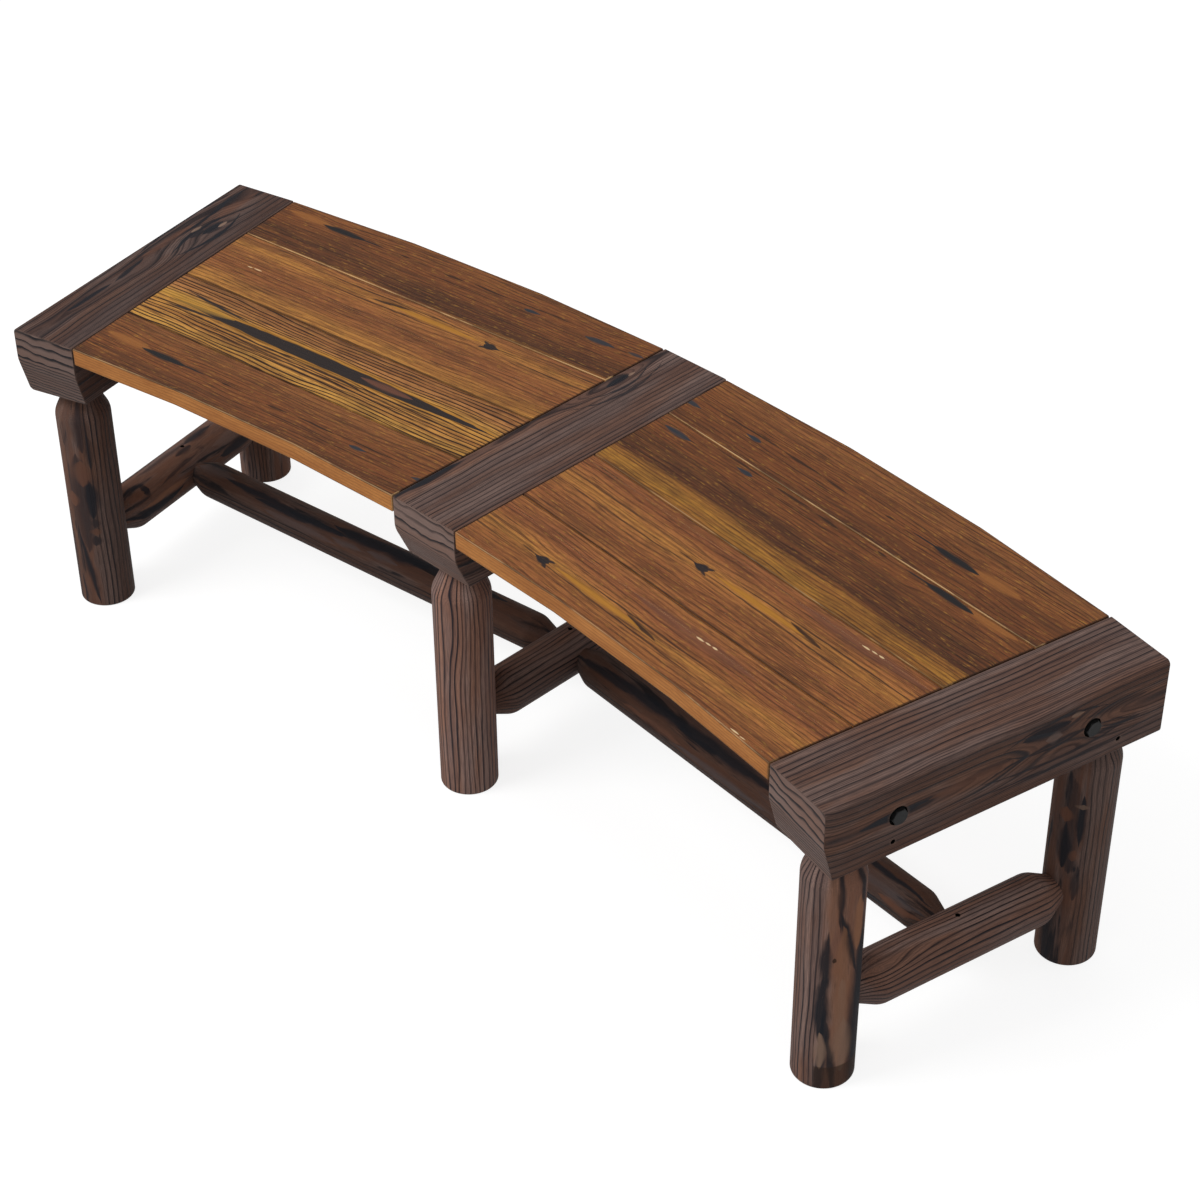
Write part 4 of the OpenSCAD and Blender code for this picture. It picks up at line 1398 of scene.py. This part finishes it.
@dataclass(frozen=True)
class SeatBoard:
    """One mitred seat board, counted from the front."""
    side: Spot
    number: int
    widths: tuple[float, ...] = (0.1125, 0.122, 0.132)
    gap: float = 0.0018
    end_gap: float = 0.0015
    thick: float = 0.025
    rear_inset: float = 0.0015
    front_bow: float = 0.011
    front_flat: float = 0.210
    rear_bow: float = 0.014
    rear_flat: float = 0.230
    arris: float = 0.0014

    def reach(self) -> tuple[float, float]:
        """Return where the board starts and ends behind the panel's front."""
        deep = PLAN.bearer_l * math.cos(PLAN.half) - self.rear_inset
        every = [*self.widths, deep - sum(self.widths) - len(self.widths) * self.gap]
        start = sum(every[:self.number - 1]) + (self.number - 1) * self.gap
        return start, start + every[self.number - 1]

    def bow(self, x: np.ndarray, y: float, flat: float, depth: float) -> np.ndarray:
        """Return how far an edge in three straight parts stands back at each place along it."""
        lean = y * math.tan(PLAN.half)
        front = PLAN.panel_front
        return np.interp(x, [-lean, (front - flat) / 2, (front + flat) / 2, front + lean],
                         [0.0, depth, depth, 0.0])

    def surface(self) -> Surface:
        """Return the board: a billet stretched to its mitres and bowed at its outer edges.

        The mitres lie at x = gap - y tan(half turn) and at x = length - gap + y tan(half turn),
        and places between them move in proportion.
        """
        start, end = self.reach()
        front, lean = PLAN.panel_front, math.tan(PLAN.half)
        inset = self.end_gap / math.cos(PLAN.half)
        first, last = self.number == 1, self.number == len(self.widths) + 1
        flat, edge_y = (self.front_flat, start) if first else (self.rear_flat, end)
        left, right = inset - edge_y * lean, front - inset + edge_y * lean
        kinks = [(front - flat) / 2, (front + flat) / 2] if first or last else []
        marks = [(kink - left) / (right - left) * front for kink in kinks]
        section = Section(end - start, self.thick, self.arris, self.arris, steps=3)
        shape = billet(section, front, self.arris, marks, step=0.040)
        across = shape.points[:, 1] + (start + end) / 2
        share = shape.points[:, 0] / front
        x = (inset - across * lean) * (1 - share) + (front - inset + across * lean) * share
        part = np.clip((across - start) / (end - start), 0.0, 1.0)
        if first:
            across = across + self.bow(x, start, self.front_flat, self.front_bow) * (1 - part)
        if last:
            across = across + self.bow(x, end, self.rear_flat, self.rear_bow) * part
        points = np.stack([x, across, shape.points[:, 2]], axis=-1)
        return Surface(points, shape.faces, shape.values).outward().placed(PLAN.panel(self.side))

    def build(self, effects: Effects) -> None:
        """Build and dress the board."""
        node = f"board_{self.side.name.lower()}_{self.number}"
        obj = make_object(node + "_plank", self.surface())
        plank = PLANKS[self.side, self.number]
        front = self.reach()[0] / MM
        finish = plank.material(node + "_oiled", PLAN.panel(self.side), front, effects)
        finish_piece(obj, finish, Slot.BOARD, node)


@dataclass(frozen=True)
class Hardware:
    """Bolts, nuts, washers and screws, all from the same few sizes."""
    flats: float = 0.019
    head_h: float = 0.0075
    nut_h: float = 0.010
    bolt_r: float = 0.006
    pitch: float = 0.00175
    thread_deep: float = 0.0009
    thread_l: float = 0.024
    tail: float = 0.004
    washer_r: float = 0.012
    washer_t: float = 0.0025
    bore_r: float = 0.0065
    screw_r: float = 0.00225
    screw_head_r: float = 0.003
    screw_head_h: float = 0.003
    ledger_bite: float = 0.025
    stretcher_bite: float = 0.022
    hex_steps: int = 72

    def hexagon(self) -> np.ndarray:
        """Return the hexagon's radius at every step: half the flats over cos of the angle."""
        angle = np.arange(self.hex_steps) * 2 * math.pi / self.hex_steps
        return self.flats / 2 / np.cos((angle + math.pi / 6) % (math.pi / 3) - math.pi / 6)

    def head(self) -> Surface:
        """Return a bolt head on X from zero: a hexagon whose outer corners a cone cuts back.

        At an angle a the flat side ends below the top by (r(a) - half the flats) * tan 30.
        """
        hexagon, inner = self.hexagon(), self.flats / 2
        drop = (hexagon - inner) * math.tan(math.radians(30)) + 0.0003
        one = np.ones(self.hex_steps)
        radius = np.stack([hexagon, hexagon, one * inner * 0.985, one * inner * 0.5])
        along = np.stack([one * 0.0, self.head_h - drop, one * self.head_h, one * self.head_h])
        return spun(radius, along, (0.0, self.head_h))

    def shank(self, length: float) -> Surface:
        """Return a shank from X = 0 to X = -length with a true screw thread at its end.

        On the thread the radius drops by depth * |2 * fraction(x / pitch - turn) - 1|.
        """
        steps = BOLT_STEPS
        plain = length - self.thread_l
        thread = np.arange(plain, length - 0.001, self.pitch / 6)[1:]
        places = np.concatenate([[0.0, plain], thread, [length - 0.0005]])
        wave = np.abs(2 * ((places[:, None] / self.pitch - np.arange(steps) / steps) % 1.0) - 1)
        ease = np.clip((places - plain) / 0.002, 0.0, 1.0) * np.clip((length - places) / 0.001, 0.3, 1.0)
        ripple = 1 - self.thread_deep / self.bolt_r * wave * ease[:, None]
        rows = np.stack([np.full(len(places), self.bolt_r), -places], axis=-1)
        return revolve(np.concatenate([[[0.0, 0.0]], rows, [[0.0, -length]]]), steps, ripple)

    def nut(self) -> Surface:
        """Return a nut on X from zero: a ring of hexagon outline with a plain bore."""
        inner, bore, high = self.flats / 2, self.bolt_r + 0.0001, self.nut_h
        ease, lip = 0.0009, 0.0004
        loop = [[bore, lip], [bore + lip, 0.0], [inner * 0.985, 0.0], [inner, ease], [inner, high - ease],
                [inner * 0.985, high], [bore + lip, high], [bore, high - lip]]
        round_row = np.array([1, 1, 1, 0, 0, 1, 1, 1])[:, None]
        return revolve(loop, self.hex_steps, np.where(round_row, 1.0, self.hexagon() / inner), ring=True)

    def washer(self) -> Surface:
        """Return a washer on X from zero."""
        ease, thick = 0.0003, self.washer_t
        outer, bore = self.washer_r, self.bore_r
        loop = [[bore, ease], [bore + ease, 0], [outer - ease, 0], [outer, ease], [outer, thick - ease],
                [outer - ease, thick], [bore + ease, thick], [bore, thick - ease]]
        return revolve(loop, 64, ring=True)

    def screw(self, length: float) -> Surface:
        """Return a screw along -X with the underside of its head at zero and a pointed end."""
        r, head, top = self.screw_r, self.screw_head_r, self.screw_head_h
        return revolve([[0.0, top], [head * 0.7, top], [head, top * 0.6], [head, 0.0], [r, -0.0005],
                        [r, r - length], [0.0, -length]], SCREW_STEPS)

    def bolts(self, faces: Sequence[Place], length: float) -> Surface:
        """Return bolts whose heads bear on the origins of frames, X pointing away from the face."""
        return joined([part.placed(at) for at in faces for part in (self.head(), self.shank(length))])

    def across(self, spots: Sequence[Spot], far: float, inward: bool = False) -> list[Place]:
        """Return frames on the bolt axes of bearers, this far towards the outer side or away from it."""
        return [PLAN.across(spot, row, PLAN.bolt_drop, (spot is Spot.LEFT) != inward, far)
                for spot in spots for row in PLAN.rows(PLAN.bolt_in)]

    def shapes(self) -> dict[str, Surface]:
        """Return the fasteners by their nodes."""
        stack = self.washer_t + self.nut_h + self.tail
        seat = PLAN.end_w / 2 - PLAN.recess
        end_face = PLAN.end_w / 2 + PLAN.ledger_w
        face = PLAN.centre_w / 2 + PLAN.ledger_w
        centre = (Spot.CENTRE,)
        nut_faces = self.across(SIDES, end_face, True) + self.across(centre, face, True)
        sunk = PLAN.end_w / 2 - PLAN.screw_sunk
        top = PLAN.cross_r - PLAN.screw_sunk
        side_screw = self.screw(sunk + PLAN.end_w / 2 + self.ledger_bite)
        top_screw = self.screw(top + self.stretcher_bite)
        on_top = [PLAN.bearer(spot, PLAN.long_row(), PLAN.stretcher_z + top) for spot in Spot]
        return {
            "end_bolts": self.bolts(self.across(SIDES, seat), seat + end_face + stack),
            "centre_bolts": self.bolts(self.across(centre, face + self.washer_t),
                                       2 * face + self.washer_t + stack),
            "nuts": joined([self.nut().placed(at.slid(self.washer_t)) for at in nut_faces]),
            "washers": joined([self.washer().placed(at) for at in nut_faces + self.across(centre, face)]),
            "ledger_screws": joined([
                side_screw.placed(PLAN.across(spot, row, PLAN.screw_drop, spot is Spot.LEFT, sunk))
                for spot in SIDES for row in PLAN.rows(PLAN.screw_in)]),
            "stretcher_screws": joined([top_screw.placed(replace(at, yaw=0.0, upright=True))
                                        for at in on_top])}

    def build(self) -> None:
        """Build and dress every fastener that replaces a node of its own."""
        coat = BLACK_COAT.material()
        for node, shape in self.shapes().items():
            finish_piece(make_object(node + "_steel", shape, STEEL_SHARP), coat, Slot.BLACK, node)
        zinc = ZINC_COAT.material()
        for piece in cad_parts["board_screws"].material_slots:
            piece.material = zinc


@dataclass(frozen=True)
class Studio:
    """Floor, soft lamp, white sky and camera."""
    eye: Three = (2.064729, -1.980649, 2.308712)
    right: Three = (0.72578283, 0.68787661, 0.00806647)
    up: Three = (-0.41919218, 0.43293407, 0.79802631)
    ahead: Three = (-0.54545138, 0.58257520, -0.60256861)
    lens: float = 81.296
    shift: tuple[float, float] = (-0.05115, 0.03297)
    sky: float = 0.62
    key_power: float = 150.0
    key_at: Three = (-1.6, -3.4, 4.6)
    key_size: float = 2.2
    floor_r: float = 40.0

    @staticmethod
    def aim(name: str, data: bpy.types.ID, at: Three, axes: Sequence[Sequence[float]]) -> bpy.types.Object:
        """Stand a lamp or camera at a point, its X, Y and Z along three directions."""
        obj = bpy.data.objects.new(name, data)
        turned = np.eye(4)
        turned[:3, :3] = np.array(axes).T
        turned[:3, 3] = at
        obj.matrix_world = Matrix(turned.tolist())
        bpy.context.scene.collection.objects.link(obj)
        return obj

    def camera(self) -> None:
        """Set up the camera from its position and its three directions."""
        data = bpy.data.cameras.new("camera")
        data.lens = self.lens
        data.sensor_width = 36.0
        data.shift_x, data.shift_y = self.shift
        data.clip_end = 200.0
        axes = (self.right, self.up, -np.array(self.ahead))
        bpy.context.scene.camera = self.aim("camera", data, self.eye, axes)

    def floor(self) -> None:
        """Lay a pale floor that looks white to the camera and keeps the bench's shadow."""
        angle = np.arange(64) * 2 * math.pi / 64
        rim = np.stack([self.floor_r * np.cos(angle), self.floor_r * np.sin(angle), np.zeros(64)], axis=-1)
        floor = make_object("floor", Surface(rim, [np.arange(64)[None, :]]))
        g = Finish("floor_paper")
        g.feed(g.shader.inputs["Base Color"], (0.35, 0.35, 0.35, 1.0))
        g.feed(g.shader.inputs["Roughness"], 1.0)
        g.feed(g.shader.inputs["Specular IOR Level"], 0.0)
        path = g.add("ShaderNodeLightPath").outputs
        seen = g.math("MAXIMUM", Wire(g, path["Is Camera Ray"]), Wire(g, path["Is Glossy Ray"]))
        shade = g.get("ShaderNodeBsdfDiffuse", {"Color": (0.28, 0.28, 0.28, 1.0)})
        glow = g.get("ShaderNodeEmission", {"Color": (1.0, 1.0, 1.0, 1.0), "Strength": 0.83})
        both = g.get("ShaderNodeAddShader", {0: shade, 1: glow})
        plain = Wire(g, g.shader.outputs[0])
        g.feed(g.output.inputs[0], g.get("ShaderNodeMixShader", {0: seen, 1: plain, 2: both}))
        floor.data.materials.append(g.material)

    def light(self) -> None:
        """Light the bench with a white sky and one large soft lamp at the front left."""
        world = bpy.data.worlds.new("sky")
        bpy.context.scene.world = world
        world.use_nodes = True
        world.node_tree.nodes.clear()
        g = Graph(world.node_tree)
        path = g.add("ShaderNodeLightPath").outputs
        seen = g.math("MAXIMUM", Wire(g, path["Is Camera Ray"]), Wire(g, path["Is Transmission Ray"]))
        dim, white = (g.get("ShaderNodeBackground", {"Color": (1.0, 1.0, 1.0, 1.0), "Strength": strength})
                      for strength in (self.sky, 1.0))
        g.add("ShaderNodeOutputWorld", {0: g.get("ShaderNodeMixShader", {0: seen, 1: dim, 2: white})})
        data = bpy.data.lights.new("key", "AREA")
        data.energy = self.key_power
        data.size = self.key_size
        away = -np.array(self.key_at) + np.array([0.0, 0.0, 0.3])
        ahead = away / np.linalg.norm(away)
        right = np.cross(ahead, [0.0, 0.0, 1.0])
        right /= np.linalg.norm(right)
        self.aim("key", data, self.key_at, (right, np.cross(right, ahead), -ahead))

    def build(self) -> None:
        """Set up everything round the bench."""
        self.camera()
        self.floor()
        self.light()
        bpy.context.scene.view_settings.view_transform = "Standard"


# A light factor above one is painted light on a log that the lamp leaves dim.
LEG_GRAINS = {
    (Spot.LEFT, Row.FRONT): LogGrain(38, 21.0, lines_from=-80, lines_to=-2, light=0.85, marks={
        Ink.NIGHT: ((176, 10, 84, 18, 0.72, 1.0), (183, -2, 34, 11, 0.95, 0.7), (302, 1, 42, 9, 0.75, 1.0),
                    (262, -8, 30, 5, 0.7, 0.9), (144, -3, 8, 8, 0.75, 0.9), (114, -1, 9, 8, 0.8, 0.8),
                    (70, 14, 66, 5.5, 0.92, 0.7, 0.17), (60, 44, 100, 9, 0.7, 0.9)),
        Ink.ROAST: ((226, 6, 22, 11, 0.7, 0.8), (181, 25, 13, 9, 0.7, 0.6), (129, -3, 6, 6, 0.6, 0.9))}),
    (Spot.LEFT, Row.REAR): LogGrain(38, 25.0, lines_from=-20, lines_to=20),
    (Spot.CENTRE, Row.FRONT): LogGrain(38, 31.0, light=1.9, hills=(Hill(290, 6, 70, 14, 9),)),
    (Spot.CENTRE, Row.REAR): LogGrain(38, 35.0),
    (Spot.RIGHT, Row.FRONT): LogGrain(38, 41.0, lines_from=13, lines_to=110, light=1.35, band=36.0, marks={
        Ink.NIGHT: ((300, -7, 54, 4, 0.9, 0.7), (228, -19, 56, 6, 0.95, 0.7, 0.25),
                    (95, -41, 170, 16, 0.96, 0.6), (314, -38, 38, 6, 0.9, 0.7), (196, 7, 54, 6, 0.92, 0.7),
                    (126, 9, 58, 8.5, 0.95, 0.6), (56, -3, 64, 4.5, 0.9, 0.7, 0.12)),
        Ink.CLAY: ((252, -32, 42, 8, 0.9, 0.7), (288, 3, 60, 7, 0.4, 0.9), (150, -12, 108, 11, 0.6, 0.8)),
        Ink.PALE: ((62, 8, 30, 6, 0.75, 0.7), (70, -18, 44, 11, 0.6, 0.9), (122, -15, 54, 6, 0.35, 1.0)),
        Ink.DARK: ((205, -2, 4, 2.2, 0.9),)}),
    (Spot.RIGHT, Row.REAR): LogGrain(38, 45.0, lines_from=-90, lines_to=4, light=0.9, marks={
        Ink.NIGHT: ((225, 21, 70, 14, 0.6, 1.0), (232, 9, 40, 6, 0.95, 0.6), (268, 27, 34, 6, 0.75, 0.9),
                    (190, 25, 36, 10, 0.95, 0.7), (164, 16, 16, 8, 0.7, 0.9), (50, 36, 64, 9, 0.9, 0.7),
                    (135, 6, 28, 5, 0.7, 0.8)),
        Ink.ROAST: ((237, 28, 12, 9, 0.8, 0.5), (178, 13, 9, 5, 0.6, 0.9)),
        Ink.PALE: ((254, 9, 4, 6, 0.5, 0.8),)}),
}
CROSS_GRAINS = {
    Spot.LEFT: LogGrain(33.75, 51.0, 30, -90, -60, marks={
        Ink.NIGHT: ((80, -22, 7, 11, 0.9, 0.8), (60, -11, 26, 2.4, 0.7, 0.8), (58, -33, 26, 2.4, 0.7, 0.8),
                    (88, -56, 64, 6, 0.95, 0.5, 0, 6), (182, -8, 18, 5, 0.8, 1.0), (225, 2, 32, 8, 0.85, 0.8),
                    (150, 4, 60, 5, 0.5, 1.0), (110, 22, 90, 6, 0.7, 0.6), (275, -50, 44, 9, 0.9),
                    (150, -26, 50, 2.4, 0.6, 0.5, 0.1)),
        Ink.CLAY: ((110, -44, 54, 4, 0.6, 0.6),),
        Ink.ROAST: ((62, -22, 15, 7, 0.7),),
        Ink.ASH: ((268, -30, 44, 8, 0.5, 0.7),)}),
    Spot.CENTRE: LogGrain(33.75, 55.0, 30),
    # Painted light: a factor of 1.35 brightens a log that the lamp leaves dim.
    Spot.RIGHT: LogGrain(33.75, 59.0, 30, light=1.35, hills=(Hill(70, -24, 46, 12, 12),)),
}
# The long stretchers' light factor of 0.55 is the painted shadow that the seat casts on them.
LONG_GRAINS = {
    Spot.LEFT: LogGrain(26.75, 60.0, 24, 36.0, 80.0, 0.55, {
        Ink.NIGHT: ((560, 12, 72, 5, 0.9, 0.6), (505, 18, 60, 5, 0.9, 0.6), (450, 14, 62, 6, 0.95, 0.6),
                    (360, 7, 62, 9, 0.95, 0.6), (300, 2, 66, 12, 0.95), (200, -2, 90, 12, 0.9)),
        Ink.STEEL: ((650, 8, 40, 8, 0.4, 0.8), (385, 24, 30, 4, 0.45, 0.9), (320, 20, 30, 4, 0.45, 0.9),
                    (470, 30, 70, 5, 0.35, 0.8))}),
    Spot.RIGHT: LogGrain(26.75, 62.0, 24, -80.0, -42.0, 0.55, {
        Ink.NIGHT: ((90, -18, 62, 5, 0.85, 0.6), (180, -12, 100, 8, 0.9, 0.6), (310, -10, 120, 9, 0.9, 0.6),
                    (600, -6, 90, 4, 0.9), (560, -46, 80, 7, 0.8), (470, -12, 70, 7, 0.8, 0.6)),
        Ink.ROAST: ((200, -34, 60, 4, 0.5, 0.7), (655, -34, 36, 5, 0.8, 0.6)),
        Ink.STEEL: ((330, -38, 90, 5, 0.45, 0.8), (600, -24, 90, 6, 0.45, 0.9))}),
}


def build_stretchers(effects: Effects) -> None:
    """Build the three cross stretchers and the two long ones."""
    front, rear = PLAN.rows(PLAN.leg_in)
    row = PLAN.long_row()
    cross = Tip(PLAN.cross_r, 0.019, 0.0625, 0.030, 0.004)
    for spot, grain in CROSS_GRAINS.items():
        place = PLAN.bearer(spot, front, PLAN.stretcher_z)
        Stretcher("cross_stretcher_" + spot.name.lower(), place, rear - front, cross, cross, grain,
                  (row - front,)).build(effects)
    run = PLAN.middle + row * np.array([math.sin(PLAN.turn), math.cos(PLAN.turn) - 1])
    inner = Tip(0.02675, 0.0165, 0.05875, 0.028, 0.0008)
    for side, grain in LONG_GRAINS.items():
        yaw = math.atan2(run[1], side.value * run[0])
        place = Place(0.0, PLAN.shift + row, PLAN.stretcher_z, yaw)
        Stretcher("long_stretcher_" + side.name.lower(), place, float(np.hypot(*run)), inner,
                  replace(inner, stop=-0.012), grain).build(effects)


def dress_ledgers(effects: Effects) -> None:
    """Give the four hidden ledgers their stain."""
    for node, spot in (("ledger_left_end", Spot.LEFT), ("ledger_left_inner", Spot.CENTRE),
                       ("ledger_right_inner", Spot.CENTRE), ("ledger_right_end", Spot.RIGHT)):
        stain = ledger_material(PLAN.bearer(spot), effects, node + "_stain")
        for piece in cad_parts[node].material_slots:
            piece.material = stain


def main() -> None:
    """Build the bench piece by piece."""
    logging.basicConfig(level=logging.INFO, format="%(name)s: %(message)s")
    Studio().build()
    effects = Effects()
    pieces = [Bearer(Spot.LEFT, LEFT_GRAIN, PLAN.end_w, 0.013, 0.009),
              Bearer(Spot.CENTRE, CENTRE_GRAIN, PLAN.centre_w, 0.022),
              Bearer(Spot.RIGHT, RIGHT_GRAIN, PLAN.end_w, 0.013, 0.009)]
    pieces += [Leg(spot, row, grain) for (spot, row), grain in LEG_GRAINS.items()]
    for piece in pieces:
        piece.build(effects)
    build_stretchers(effects)
    for side, number in PLANKS:
        SeatBoard(side, number).build(effects)
    dress_ledgers(effects)
    Hardware().build()


if __name__ == "__main__":
    main()
